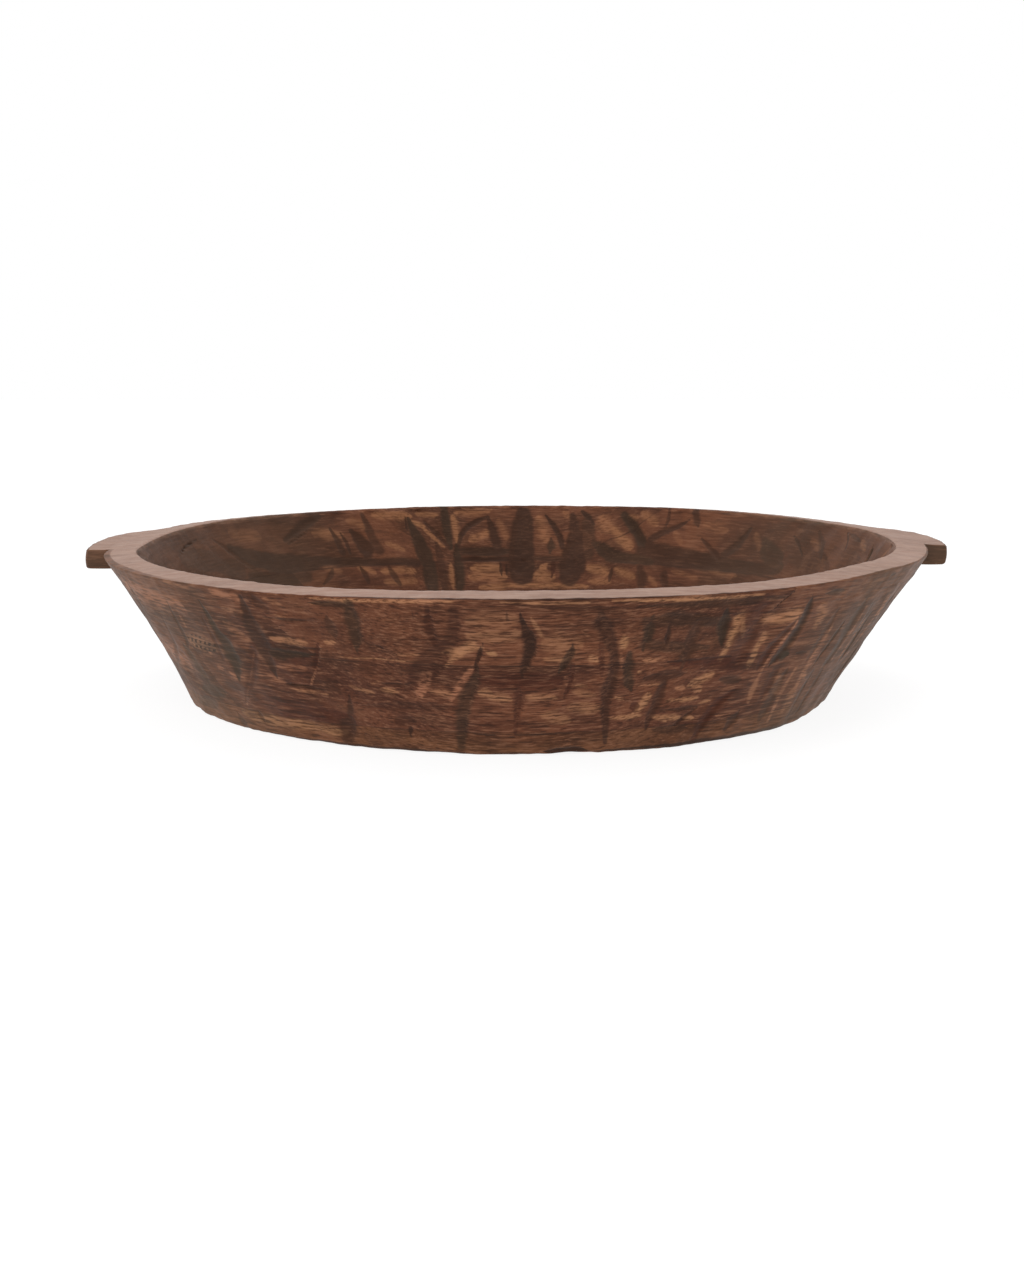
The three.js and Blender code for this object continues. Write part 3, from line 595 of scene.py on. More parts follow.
def outline_field(rsel, cut, inside, light):
    """Cuts, or wears, one outlined shape: a bent centre line with a width at every point."""
    strength, hue, dep, flat = cut
    pts = np.array(flat, float).reshape(-1, 3)
    r0, r1 = rsel
    wmax = pts[:, 2].max()
    zrow = PZ[r0:r1].mean(1) - HEIGHT
    pick = np.where((zrow > pts[:, 1].min() - wmax - 3) & (zrow < pts[:, 1].max() + wmax + 3))[0]
    a, b = r0 + pick[0], r0 + pick[-1] + 1
    tm = (pts[:, 0].min() + pts[:, 0].max()) / 2
    reach = (pts[:, 0].max() - pts[:, 0].min()) / 2 + math.degrees((wmax + 4) / 235)
    d = (theta_deg - tm + 180) % 360 - 180
    c = np.where(np.abs(d) < reach)[0]
    rp = inner_r(HEIGHT + pts[:, 1]) if inside else outer_r(HEIGHT + pts[:, 1])
    pu, pv, pw = np.radians(pts[:, 0] - tm) * rp, pts[:, 1] * K, pts[:, 2] / 2
    u = np.radians(d[c])[None, :] * PR[a:b][:, c]
    v = (PZ[a:b][:, c] - dz[a:b][:, c] - HEIGHT) * K
    e = np.full(u.shape, -1.0)
    q = np.full(u.shape, 1.0)
    al = np.zeros(u.shape)
    hw = np.ones(u.shape)
    n = len(pts) - 1
    for i in range(n):
        du, dv = pu[i + 1] - pu[i], pv[i + 1] - pv[i]
        L = math.hypot(du, dv)
        t = np.clip(((u - pu[i]) * du + (v - pv[i]) * dv) / L / L, 0, 1)
        ru, rv = u - pu[i] - t * du, v - pv[i] - t * dv
        dist = np.hypot(ru, rv)
        h = np.maximum(pw[i] + (pw[i + 1] - pw[i]) * smooth(t), .55)
        ei = np.clip((h - dist) / np.minimum(h, 4.2 if inside else 5.2), -1, 1)
        m = ei > e
        e = np.where(m, ei, e)
        q = np.where(m, np.sign(ru * dv - rv * du) * np.minimum(dist / h, 1), q)
        al = np.where(m, (i + t) / n, al)
        hw = np.where(m, h, hw)
    E, S, H = (lit_e, lit_s, lit_h) if light else (cut_e, cut_s, cut_h)
    sub = np.ix_(range(a, b), c)
    near = (e + .25 * (strength - .7) > E[sub] + .25 * (S[sub] - .7)) & (e > -.95)
    E[sub] = np.where(near, e, E[sub])
    S[sub] = np.where(near, strength, S[sub])
    H[sub] = np.where(near, hue, H[sub])
    if dep > 0:
        f = np.where(q < -.35, (1 + q) / .65, (1 - q) / 1.35)
        f = (.35 * np.sin(np.clip(f, 0, 1) * math.pi / 2) + .65 * smooth(f)) * (e > 0) * np.clip(hw / (wmax / 2), .25, 1)
        f = f * smooth(al / .12) * smooth((1 - al) / .2)
        depth[sub] = np.maximum(depth[sub], dep * f) + .1 * dep * f


out_rows = (int(np.where(kind == "edge")[0][0]), path0 + NA + NK + NB + NE)
inn_rows = (lip0, int(np.where(kind == "fillet")[0][-1]) + 1)
for s in OUT:
    stroke_field(out_rows, s, False)
for s in OUT_LIGHT:
    stroke_field(out_rows, s, True)
for s in INN:
    stroke_field(inn_rows, s[:4] + (s[4] * 1.22,) + s[5:], False)
for s in INN_LIGHT:
    stroke_field(inn_rows, s, True)

for s in CUTS_OUT:
    outline_field(out_rows, s, False, False)
for s in EDGES_OUT:
    outline_field(out_rows, s, False, True)
for s in CUTS_IN:
    flat = tuple(v * 1.16 if k % 3 == 2 else v for k, v in enumerate(s[3]))
    outline_field(inn_rows, s[:3] + (flat,), True, False)

# the lugs' square front faces are painted darker, the right one much more than the left: painted shade
face = (step_w >= 0)[None, :] & (np.arange(R)[:, None] >= path0) & (np.arange(R)[:, None] < path0 + NA + NK + NB + 2)
cut_e = np.where(face, .35, cut_e)
cut_s = np.where(face, np.where(np.cos(TH) > 0, .80, .44), cut_s)
cut_h = np.where(face, 0, cut_h)

# the floor: long shallow scoops in every direction, in its own plane
fl = np.where(np.isin(kind, ["floor", "fillet"]))[0]
f0, f1 = int(fl[0]), int(fl[-1]) + 1
fx, fy = X[f0:f1], Y[f0:f1]
for k in range(150):
    ang = rng.uniform(0, 2 * math.pi)
    rad = 196 * math.sqrt(rng.uniform(0, 1))
    cx, cy = rad * math.cos(ang), rad * math.sin(ang)
    turn_a = rng.normal(0, .30) + (.9 * math.sin(2 * ang) if rad > 120 else 0)
    L, w = rng.uniform(34, 105), rng.uniform(6, 14)
    dep = rng.uniform(.35, 1.0)
    strength = rng.uniform(.22, .62)
    hue = rng.uniform(-.7, .5)
    bend = rng.normal(0, 3)
    dx, dy = fx - cx, fy - cy
    al = (dx * math.cos(turn_a) + dy * math.sin(turn_a)) / L + .5
    la = -dx * math.sin(turn_a) + dy * math.cos(turn_a) - bend * 4 * np.clip(al, 0, 1) * (1 - np.clip(al, 0, 1))
    tt = np.clip(al, 0, 1)
    hw = np.maximum(w / 2 * np.sin(np.pi * tt) ** .6, .35)
    over = np.maximum(np.abs(al - .5) - .5, 0) * L
    e = np.clip(1 - np.hypot(la / hw, over / 1.6), -1, 1)
    E = cut_e[f0:f1]
    near = (e > E) & (e > -.9)
    if k % 3:
        cut_e[f0:f1] = np.where(near, e, E)
        cut_s[f0:f1] = np.where(near, strength, cut_s[f0:f1])
        cut_h[f0:f1] = np.where(near, hue, cut_h[f0:f1])
    else:
        E = lit_e[f0:f1]
        near = (e > E) & (e > -.9)
        lit_e[f0:f1] = np.where(near, e, E)
        lit_s[f0:f1] = np.where(near, strength, lit_s[f0:f1])
    ins = (np.abs(la) < hw) & (al > 0) & (al < 1)
    depth[f0:f1] = np.maximum(depth[f0:f1], np.where(ins, dep * np.cos(la / hw * math.pi / 2) * smooth(tt / .3) * smooth((1 - tt) / .3), 0))

# chatter marks just under the upper glue line at the left: a patch, filled in by the material
chat = np.zeros((R, M))
o0, o1 = out_rows
zc_ = PZ[o0:o1] - HEIGHT
chat[o0:o1] = np.exp(-((TD[o0:o1] - 221.2) / 4.0) ** 4) * np.exp(-((zc_ + 46.6) / 5.6) ** 4)
# gouges run out before the rim's edge
zt = HEIGHT - PZ + dz
depth[o0:o1] *= smooth((zt[o0:o1] - 1.5) / 8)
i0, i1 = inn_rows
depth[i0:i1] *= smooth((zt[i0:i1] - 1.0) / 6)
# and they are shallower towards the two ends
depth[o0:o1] *= 1 - .62 * smooth((np.abs(np.cos(TH[o0:o1])) - .50) / .28)

# ------------------------------------------------------------------ the uneven hand-cut surface
wall_w = np.isin(kind, ["wall", "edge"])[:, None] * 1.0
inn_w = np.isin(kind, ["inwall", "fillet"])[:, None] * 1.0
path_w = np.isin(kind, ["path", "inlip"])[:, None] * 1.0
flo_w = (kind == "floor")[:, None] * 1.0
und_w = (kind == "under")[:, None] * 1.0
lump = (0.26 * wave_sum(waves(31, 26, (10, 60), .22), TH, PZ)
        + 0.05 * wave_sum(waves(32, 30, (60, 190), .7), TH, PZ))
lump_in = (0.42 * wave_sum(waves(33, 26, (10, 52), .22), TH, PZ)
           + 0.05 * wave_sum(waves(34, 30, (50, 170), .6), TH, PZ))
rim_lump = (0.06 * wave_sum(waves(35, 22, (14, 90), .0), TH, PZ)
            + 0.07 * wave_sum(waves(36, 26, (20, 240), 0), TH, PZ))


def plane_waves(seed, n, lo, hi, x, y):
    g = np.random.default_rng(seed)
    out = np.zeros_like(x)
    for _ in range(n):
        k = 2 * math.pi / g.uniform(lo, hi)
        a = g.uniform(0, 2 * math.pi)
        out += np.cos(k * (x * math.cos(a) + y * math.sin(a)) + g.uniform(0, 2 * math.pi))
    return out / math.sqrt(n / 2)


flo = np.zeros((R, M))
sel = np.isin(kind, ["floor"])
flo[sel] = 0.38 * plane_waves(41, 22, 26, 80, X[sel], Y[sel])
sel = np.isin(kind, ["under"])
flo[sel] = 0.10 * plane_waves(42, 22, 20, 90, X[sel], Y[sel])
disp = (-depth + wall_w * lump + inn_w * lump_in + path_w * rim_lump + flo_w * flo - und_w * (0.10 + np.abs(flo)))
# nothing sinks below the surface the bowl stands on
centre_fade = np.clip((PR - 3) / 12, 0, 1)
P = P + NRM * (disp * np.where(np.isin(kind, ["floor", "under"])[:, None], centre_fade, 1))[..., None]
P[..., 2] = np.maximum(P[..., 2], 0.0)

# ------------------------------------------------------------------ one closed mesh
n_grid = R * M
verts = np.concatenate([P.reshape(-1, 3), [[0, 0, 0.12]], [[0, 0, FLOOR_Z]]]) / 1000.0
idx = np.arange(n_grid).reshape(R, M)
a = idx[:-1]
b = idx[1:]
a2 = np.roll(a, -1, 1)
b2 = np.roll(b, -1, 1)
quads = np.stack([a, a2, b2, b], -1).reshape(-1, 4)
first, last = idx[0], idx[-1]
tris_u = np.stack([np.full(M, n_grid), np.roll(first, -1), first], -1)
tris_f = np.stack([np.full(M, n_grid + 1), last, np.roll(last, -1)], -1)


def make_mesh(name, co, q, t, attrs):
    me = bpy.data.meshes.new(name)
    me.vertices.add(len(co))
    me.vertices.foreach_set("co", co.astype(np.float32).ravel())
    loops = np.concatenate([q.ravel(), t.ravel()]).astype(np.int32)
    me.loops.add(len(loops))
    me.loops.foreach_set("vertex_index", loops)
    starts = np.concatenate([np.arange(len(q)) * 4, len(q) * 4 + np.arange(len(t)) * 3]).astype(np.int32)
    me.polygons.add(len(starts))
    me.polygons.foreach_set("loop_start", starts)
    me.update(calc_edges=True)
    for key, val in attrs.items():
        at = me.attributes.new(key, "FLOAT", "POINT")
        at.data.foreach_set("value", val.astype(np.float32))
    me.validate()
    return me


def pad(field):
    return np.concatenate([field.ravel(), [field[0].mean(), field[-1].mean()]])


# rimtop marks the rim's top face, which the material paints paler and greyer as a painted sheen
rimtop = np.zeros((R, M))
rimtop[path0 + NA + NK + NB + NE - 1:lip0 + 2] = 1
rimtop[lip0 - 1:lip0 + 2] *= 1 - smooth((np.sin(theta) - .30) / .4)[None, :]
for j in range(NC):
    # the outer few millimetres at the left are rounded over and keep the wall's colour
    rimtop[path0 + NA + NK + NB + NE - 1 + j] *= 1 - bump_at(203, 20)[0] * (1 - smooth((j / NC - .12) / .14)) * (lug_w < .5)
hollow = np.zeros((R, M))
hollow[np.isin(kind, ["inwall", "fillet", "floor"])] = 1
# how nearly the fibres end at the surface: at the two ends of the bowl, where the material also lays on a pale painted
# sheen
ends = smooth((np.abs(np.cos(TH)) - .50) / .34) * (~np.isin(kind, ["floor", "under"]))[:, None] * (1 - rimtop)
# how much of the surface shows level scraper marks over the broken ends of the fibres
side = smooth((np.abs(np.cos(TH)) - .16) / .5) * (~np.isin(kind, ["floor", "under"]))[:, None] * (1 - rimtop)
edge_wear = np.zeros((R, M))
for i in range(R):
    # arrises: the rim's two edges, the lug's edges and the foot
    d_out = abs(i - (path0 + NA + NK + NB + 2)) / 3.2
    d_in = abs(i - (lip0 + 0.5)) / 2.0
    d_foot = abs(i - np.where(kind == "edge")[0][3]) / 3.0
    edge_wear[i] = max(math.exp(-d_out ** 2), 0.5 * math.exp(-d_in ** 2), 0.8 * math.exp(-d_foot ** 2))
# only worn through to bare wood here and there
edge_wear *= (.16 + .22 * np.clip(wave_sum(waves(51, 9, (3, 26), 0), TH, 0 * TH), -.4, 2)
              + .2 * bump_at(262, 9) + .25 * bump_at(288, 6) + .1 * bump_at(225, 9))
edge_wear[lip0 - 3:] *= .3
low_edge = .3 * np.exp(-(np.abs(np.arange(R) - (path0 + NA + 2)) / 2.6) ** 2)[:, None] * lug_w[None, :]
edge_wear = np.maximum(edge_wear, low_edge)
edge_wear = np.maximum(edge_wear, np.where((step_w >= 0.8)[None, :] & (np.arange(R)[:, None] >= path0) & (np.arange(R)[:, None] < lip0), .3, 0))
attrs = {"cut_e": pad(cut_e), "cut_s": pad(cut_s), "cut_h": pad(cut_h), "lit_e": pad(lit_e),
         "lit_s": pad(lit_s), "lit_h": pad(lit_h), "rimtop": pad(rimtop), "hollow": pad(hollow),
         "side": pad(side), "ends": pad(ends), "wear": pad(edge_wear), "orig": np.ones(n_grid + 2),
         "deep": pad(depth), "chat": pad(chat)}
whole = make_mesh("whole_bowl", verts, quads, np.concatenate([tris_u, tris_f]), attrs)
bm = bmesh.new()
bm.from_mesh(whole)
bmesh.ops.triangulate(bm, faces=bm.faces, quad_method="SHORT_EDGE")
vol = bm.calc_volume(signed=True)
if vol < 0:
    bmesh.ops.reverse_faces(bm, faces=bm.faces)
bm.to_mesh(whole)
bm.free()
whole_ob = bpy.data.objects.new("whole_bowl", whole)
bpy.context.collection.objects.link(whole_ob)


# ------------------------------------------------------------------ materials
def srgb(r, g, b):
    def f(c):
        c /= 255.0
        return c / 12.92 if c <= 0.04045 else ((c + 0.055) / 1.055) ** 2.4
    return (f(r), f(g), f(b), 1.0)


class Nodes:
    def __init__(self, mat):
        mat.use_nodes = True
        self.nt = mat.node_tree
        self.nt.nodes.clear()

    def new(self, kind_name, **kw):
        n = self.nt.nodes.new(kind_name)
        for k, v in kw.items():
            setattr(n, k, v)
        return n

    def link(self, a, b):
        self.nt.links.new(a, b)

    def math(self, op, a, b=0.0, clamp=False):
        n = self.new("ShaderNodeMath", operation=op, use_clamp=clamp)
        for i, v in enumerate((a, b)):
            if isinstance(v, (int, float)):
                n.inputs[i].default_value = v
            else:
                self.link(v, n.inputs[i])
        return n.outputs[0]

    def ramp(self, v, lo, hi, out_lo=0.0, out_hi=1.0, kind_name="SMOOTHSTEP"):
        n = self.new("ShaderNodeMapRange", interpolation_type=kind_name)
        self.link(v, n.inputs[0])
        for i, x in enumerate((lo, hi, out_lo, out_hi)):
            n.inputs[i + 1].default_value = x
        return n.outputs[0]

    def attr(self, name):
        return self.new("ShaderNodeAttribute", attribute_name=name).outputs["Fac"]

    def lerp(self, a, b, f):
        return self.math("ADD", a, self.math("MULTIPLY", self.math("SUBTRACT", b, a), f))

    def noise(self, vec, scale, detail=3.0, rough=0.55, lac=2.0, dist=0.0):
        n = self.new("ShaderNodeTexNoise")
        self.link(vec, n.inputs["Vector"])
        n.inputs["Scale"].default_value = scale
        n.inputs["Detail"].default_value = detail
        n.inputs["Roughness"].default_value = rough
        n.inputs["Lacunarity"].default_value = lac
        n.inputs["Distortion"].default_value = dist
        return n.outputs["Fac"]

    def scaled(self, vec, s, o=(0, 0, 0)):
        n = self.new("ShaderNodeMapping")
        self.link(vec, n.inputs["Vector"])
        n.inputs["Scale"].default_value = s
        n.inputs["Location"].default_value = o
        return n.outputs[0]

    def mix(self, f, a, b, blend="MIX"):
        n = self.new("ShaderNodeMix", data_type="RGBA", blend_type=blend)
        for s, v in ((n.inputs[0], f), (n.inputs[6], a), (n.inputs[7], b)):
            if isinstance(v, (int, float)):
                s.default_value = v
            elif isinstance(v, tuple):
                s.default_value = v
            else:
                self.link(v, s)
        return n.outputs[2]


def wood(name, base, light, dark, rough, shift):
    mat = bpy.data.materials.new(name)
    N_ = Nodes(mat)
    tc = N_.new("ShaderNodeTexCoord").outputs["Object"]
    # each board is cut from another place in the log
    off = N_.new("ShaderNodeVectorMath", operation="ADD")
    N_.link(tc, off.inputs[0])
    comb = N_.new("ShaderNodeCombineXYZ")
    bid = N_.attr("board")
    N_.link(N_.math("MULTIPLY", bid, 1.37), comb.inputs[0])
    N_.link(N_.math("MULTIPLY", bid, 0.731), comb.inputs[1])
    N_.link(N_.math("MULTIPLY", bid, 0.517), comb.inputs[2])
    N_.link(comb.outputs[0], off.inputs[1])
    pos = off.outputs[0]
    # grain runs along X: stretched fibres, growth bands, and pores
    warp = N_.noise(N_.scaled(pos, (2.2, 9, 9)), 1.0, 2.0)
    wv = N_.new("ShaderNodeVectorMath", operation="ADD")
    N_.link(pos, wv.inputs[0])
    wc = N_.new("ShaderNodeCombineXYZ")
    N_.link(N_.math("MULTIPLY", N_.math("SUBTRACT", warp, .5), .010), wc.inputs[1])
    N_.link(N_.math("MULTIPLY", N_.math("SUBTRACT", warp, .5), .014), wc.inputs[2])
    N_.link(wc.outputs[0], wv.inputs[1])
    wpos = wv.outputs[0]
    # where the fibres end at the surface, at the two ends, level scraper marks show instead
    sd = N_.attr("side")
    fibre = N_.lerp(N_.noise(N_.scaled(wpos, (85, 760, 760)), 1.0, 3.0, .62),
                    N_.noise(N_.scaled(pos, (70, 70, 700)), 1.0, 3.0, .6), sd)
    fibre2 = N_.lerp(N_.noise(N_.scaled(wpos, (26, 250, 250)), 1.0, 3.0, .55),
                     N_.noise(N_.scaled(pos, (22, 22, 230)), 1.0, 3.0, .55), sd)
    bands = N_.lerp(N_.noise(N_.scaled(wpos, (2.5, 52, 52)), 1.0, 3.0, .55, 2.0, .4),
                    N_.noise(N_.scaled(pos, (7, 7, 60)), 1.0, 3.0, .55), sd)
    ends_grain_and_sheen = N_.attr("ends")
    calm = N_.math("SUBTRACT", 1.0, N_.math("ADD", N_.math("MULTIPLY", ends_grain_and_sheen, .30), N_.math("MULTIPLY", N_.attr("hollow"), .38)))
    blotch = N_.noise(N_.scaled(pos, (13, 20, 20)), 1.0, 3.0, .55)
    blotch2 = N_.noise(N_.scaled(pos, (26, 52, 52), (.3, .1, .7)), 1.0, 3.0, .6)
    mott = N_.noise(pos, 95.0, 4.0, .6)
    speck = N_.noise(pos, 420.0, 3.0, .6)
    # base colour
    col = N_.mix(N_.ramp(bands, .36, .64), base, light)
    col = N_.mix(N_.math("MULTIPLY", N_.ramp(blotch, .50, .66), .60), col, srgb(64, 40, 29))
    col = N_.mix(N_.math("MULTIPLY", N_.ramp(blotch, .46, .30), .45), col, srgb(116, 70, 47))
    col = N_.mix(N_.math("MULTIPLY", N_.ramp(blotch2, .53, .68), .30), col, srgb(60, 39, 29))
    col = N_.mix(N_.math("MULTIPLY", N_.ramp(blotch2, .46, .32), .26), col, srgb(114, 77, 56))
    # worn and thinly stained patches, broken up along the grain
    le = N_.math("ADD", N_.attr("lit_e"), N_.math("MULTIPLY", N_.math("SUBTRACT", mott, .5), 1.5))
    le = N_.math("ADD", le, N_.math("MULTIPLY", N_.math("SUBTRACT", fibre2, .5), .9))
    le = N_.math("ADD", le, N_.math("MULTIPLY", N_.math("SUBTRACT", blotch2, .5), 1.1))
    lm = N_.math("MULTIPLY", N_.ramp(le, -.42, .78), N_.attr("lit_s"))
    lm = N_.math("MULTIPLY", lm, N_.math("SUBTRACT", 1.0, N_.math("MULTIPLY", N_.attr("hollow"), .16)))
    lh = N_.ramp(N_.attr("lit_h"), -.3, .8)
    lcol = N_.mix(lh, srgb(166, 120, 84), srgb(156, 103, 77))
    lcol = N_.mix(N_.math("MULTIPLY", N_.attr("hollow"), .7), lcol, srgb(154, 103, 68))
    lstreak = N_.math("ADD", .30, N_.math("MULTIPLY", N_.ramp(fibre, .59, .42), .62))
    # smoother inside the hollow
    lstreak = N_.lerp(lstreak, N_.math("ADD", .50, N_.math("MULTIPLY", N_.ramp(fibre, .62, .40), .30)), N_.attr("hollow"))
    col = N_.mix(N_.math("MULTIPLY", lm, lstreak), col, lcol)
    # dark stain lying in the cuts, deepest along the middle, with a ragged edge
    ce = N_.math("ADD", N_.attr("cut_e"), N_.math("MULTIPLY", N_.math("SUBTRACT", mott, .5), .8))
    ce = N_.math("ADD", ce, N_.math("MULTIPLY", N_.math("SUBTRACT", fibre2, .5), .6))
    ce = N_.math("ADD", ce, N_.math("MULTIPLY", N_.math("SUBTRACT", blotch2, .5), .5))
    cm = N_.math("MULTIPLY", N_.ramp(ce, -.40, .50), N_.attr("cut_s"))
    ch = N_.attr("cut_h")
    dcol = N_.mix(N_.ramp(ch, -.8, 0.0, 1.0, 0.0), srgb(52, 33, 25), srgb(48, 38, 29))
    dcol = N_.mix(N_.ramp(ch, .1, .9), dcol, srgb(68, 33, 23))
    col = N_.mix(N_.math("MINIMUM", cm, 0.94), col, dcol)
    # two rows of short slanted chatter marks
    sp = N_.new("ShaderNodeSeparateXYZ")
    N_.link(tc, sp.inputs[0])
    tang = N_.math("SUBTRACT", N_.math("MULTIPLY", sp.outputs[0], .656), N_.math("MULTIPLY", sp.outputs[1], .755))
    ph = N_.math("ADD", N_.math("MULTIPLY", tang, 6.2832 / .0054), N_.math("MULTIPLY", sp.outputs[2], -1050.0))
    ph = N_.math("ADD", ph, N_.math("MULTIPLY", mott, 7.0))
    tick = N_.ramp(N_.math("SINE", ph), -.35, .45)
    rowm = N_.ramp(N_.math("SINE", N_.math("ADD", N_.math("MULTIPLY", sp.outputs[2], 6.2832 / .0044), N_.math("MULTIPLY", mott, 5.0))), -.6, .2)
    cmk = N_.math("MULTIPLY", N_.math("MULTIPLY", tick, rowm), N_.ramp(N_.attr("chat"), .35, .7))
    col = N_.mix(N_.math("MULTIPLY", N_.ramp(N_.attr("chat"), .3, .8), .26), col, srgb(140, 104, 80))
    col = N_.mix(N_.math("MULTIPLY", cmk, .95), col, srgb(34, 22, 17))
    # fine grain lines, dark and pale, over everything
    col = N_.mix(N_.math("MULTIPLY", N_.math("MULTIPLY", N_.ramp(fibre2, .51, .66), .32), calm), col, dark)
    col = N_.mix(N_.math("MULTIPLY", N_.math("MULTIPLY", N_.ramp(fibre, .50, .64), .62), calm), col, dark)
    gl = N_.math("MULTIPLY", N_.ramp(fibre, .49, .34), N_.math("SUBTRACT", .44, N_.math("MULTIPLY", cm, .34)))
    col = N_.mix(N_.math("MULTIPLY", gl, calm), col, srgb(144, 101, 77))
    # dark line where the cut is deepest
    deep = N_.ramp(N_.attr("deep"), .8, 1.9)
    col = N_.mix(N_.math("MULTIPLY", deep, .45), col, srgb(44, 30, 24))
    # glue lines: two level ones round the bowl, and the upright ones between boards
    sep = N_.new("ShaderNodeSeparateXYZ")
    N_.link(tc, sep.inputs[0])
    gl_n = N_.noise(N_.scaled(tc, (40, 40, 5)), 1.0, 2.0)
    wob = N_.math("MULTIPLY", N_.math("SUBTRACT", N_.noise(N_.scaled(tc, (30, 30, 30)), 1.0, 1.0), .5), .0004)
    line = None
    for axis, at, wid, st in ((2, SEAM_HIGH, .42, .85), (2, SEAM_LOW, .38, .8), (1, -1.5 * BOARD, .34, .8),
                              (1, 1.5 * BOARD, .34, .8), (1, -.5 * BOARD, .30, .6), (1, .5 * BOARD, .30, .6),
                              (1, -BOARD, .30, .6), (1, 0.0, .30, .6), (1, BOARD, .30, .6)):
        zr = sep.outputs[2]
        d = N_.math("ABSOLUTE", N_.math("ADD", N_.math("SUBTRACT", sep.outputs[axis], at / 1000.0), wob))
        m = N_.math("MULTIPLY", N_.ramp(d, wid * .0003, wid * .0018, 1.0, 0.0), st)
        if axis == 1:
            # only in the layers that have a joint there
            top = at in (-1.5 * BOARD, 1.5 * BOARD, -.5 * BOARD, .5 * BOARD)
            if abs(abs(at) - .5 * BOARD) < 1:
                g = N_.math("ADD", N_.math("GREATER_THAN", zr, SEAM_HIGH / 1000), N_.math("LESS_THAN", zr, SEAM_LOW / 1000))
            elif top:
                g = N_.math("GREATER_THAN", zr, SEAM_HIGH / 1000)
            else:
                g = N_.math("MULTIPLY", N_.math("GREATER_THAN", zr, SEAM_LOW / 1000), N_.math("LESS_THAN", zr, SEAM_HIGH / 1000))
            m = N_.math("MULTIPLY", m, g)
        line = m if line is None else N_.math("MAXIMUM", line, m)
    line = N_.math("MULTIPLY", line, N_.ramp(gl_n, .38, .62, .10, .72))
    col = N_.mix(line, col, srgb(46, 31, 25))
    # the two ends are painted paler and greyer: a painted sheen, standing for the bright surroundings reflected off the
    # walls seen edge-on, half as strong in the hollow
    col = N_.mix(N_.math("MULTIPLY", ends_grain_and_sheen, N_.math("SUBTRACT", .20, N_.math("MULTIPLY", N_.attr("hollow"), .10))), col, srgb(122, 106, 88))
    # wear on the arrises
    wearn = N_.math("ADD", N_.attr("wear"), N_.math("MULTIPLY", N_.math("SUBTRACT", mott, .55), 1.3))
    wm = N_.math("MULTIPLY", N_.ramp(wearn, .35, .95), .50)
    col = N_.mix(wm, col, srgb(164, 114, 86))
    # zones: the rim's top is paler and greyer, the hollow a little paler and warmer
    rim_painted_sheen = N_.ramp(N_.attr("rimtop"), .2, .8)
    holl = N_.attr("hollow")
    # the rim's top is painted paler and greyer, mottled along the grain: a painted sheen, standing for the bright
    # surroundings reflected off the top face seen nearly edge-on
    col = N_.mix(N_.math("MULTIPLY", rim_painted_sheen, N_.math("ADD", N_.math("ADD", N_.math("ADD", .42, N_.math("MULTIPLY", N_.ramp(mott, .40, .62), .12)), N_.math("MULTIPLY", N_.ramp(fibre, .42, .60), .16)), N_.math("MULTIPLY", N_.ramp(fibre2, .40, .62), .20))), col, srgb(160, 133, 119))
    col = N_.mix(N_.math("MULTIPLY", holl, .06), col, srgb(112, 80, 60))
    # the left of the hollow is darker and greyer
    left = N_.math("MULTIPLY", N_.ramp(sp.outputs[0], -.09, -.21), holl)
    col = N_.mix(N_.math("MULTIPLY", left, .34), col, srgb(55, 41, 31))
    bs = N_.new("ShaderNodeBsdfPrincipled")
    out = N_.new("ShaderNodeOutputMaterial")
    N_.link(col, bs.inputs["Base Color"])
    ro = N_.math("ADD", rough, N_.math("MULTIPLY", N_.math("SUBTRACT", blotch, .5), .28))
    ro = N_.math("ADD", ro, N_.math("MULTIPLY", N_.math("SUBTRACT", fibre2, .5), .16))
    ro = N_.math("ADD", ro, N_.math("MULTIPLY", wm, .12))
    ro = N_.math("SUBTRACT", ro, N_.math("MULTIPLY", cm, .05))
    N_.link(N_.math("MINIMUM", N_.math("MAXIMUM", ro, .25), .8), bs.inputs["Roughness"])
    bs.inputs["Specular IOR Level"].default_value = 0.07
    bs.inputs["Specular Tint"].default_value = (1.0, .90, .82, 1.0)
    # fibres, pores and the edges of the stain, in relief
    hgt = N_.math("MULTIPLY", fibre, .00035)
    hgt = N_.math("ADD", hgt, N_.math("MULTIPLY", fibre2, .0006))
    hgt = N_.math("ADD", hgt, N_.math("MULTIPLY", speck, .00012))
    hgt = N_.math("ADD", hgt, N_.math("MULTIPLY", mott, .0005))
    hgt = N_.math("SUBTRACT", hgt, N_.math("MULTIPLY", cm, .00035))
    hgt = N_.math("SUBTRACT", hgt, N_.math("MULTIPLY", line, .00006))
    bp = N_.new("ShaderNodeBump")
    bp.inputs["Strength"].default_value = 0.55
    bp.inputs["Distance"].default_value = 1.0
    N_.link(hgt, bp.inputs["Height"])
    N_.link(bp.outputs[0], bs.inputs["Normal"])
    N_.link(bs.outputs[0], out.inputs["Surface"])
    return mat


MATS = {
    "rim_wood": wood("rim_wood", srgb(78, 46, 33), srgb(100, 61, 43), srgb(41, 25, 19), .54, 0),
    "wall_wood": wood("wall_wood", srgb(76, 44, 32), srgb(98, 59, 42), srgb(40, 24, 18), .54, 0),
    "base_wood": wood("base_wood", srgb(82, 50, 34), srgb(106, 68, 45), srgb(43, 27, 19), .56, 0),
}

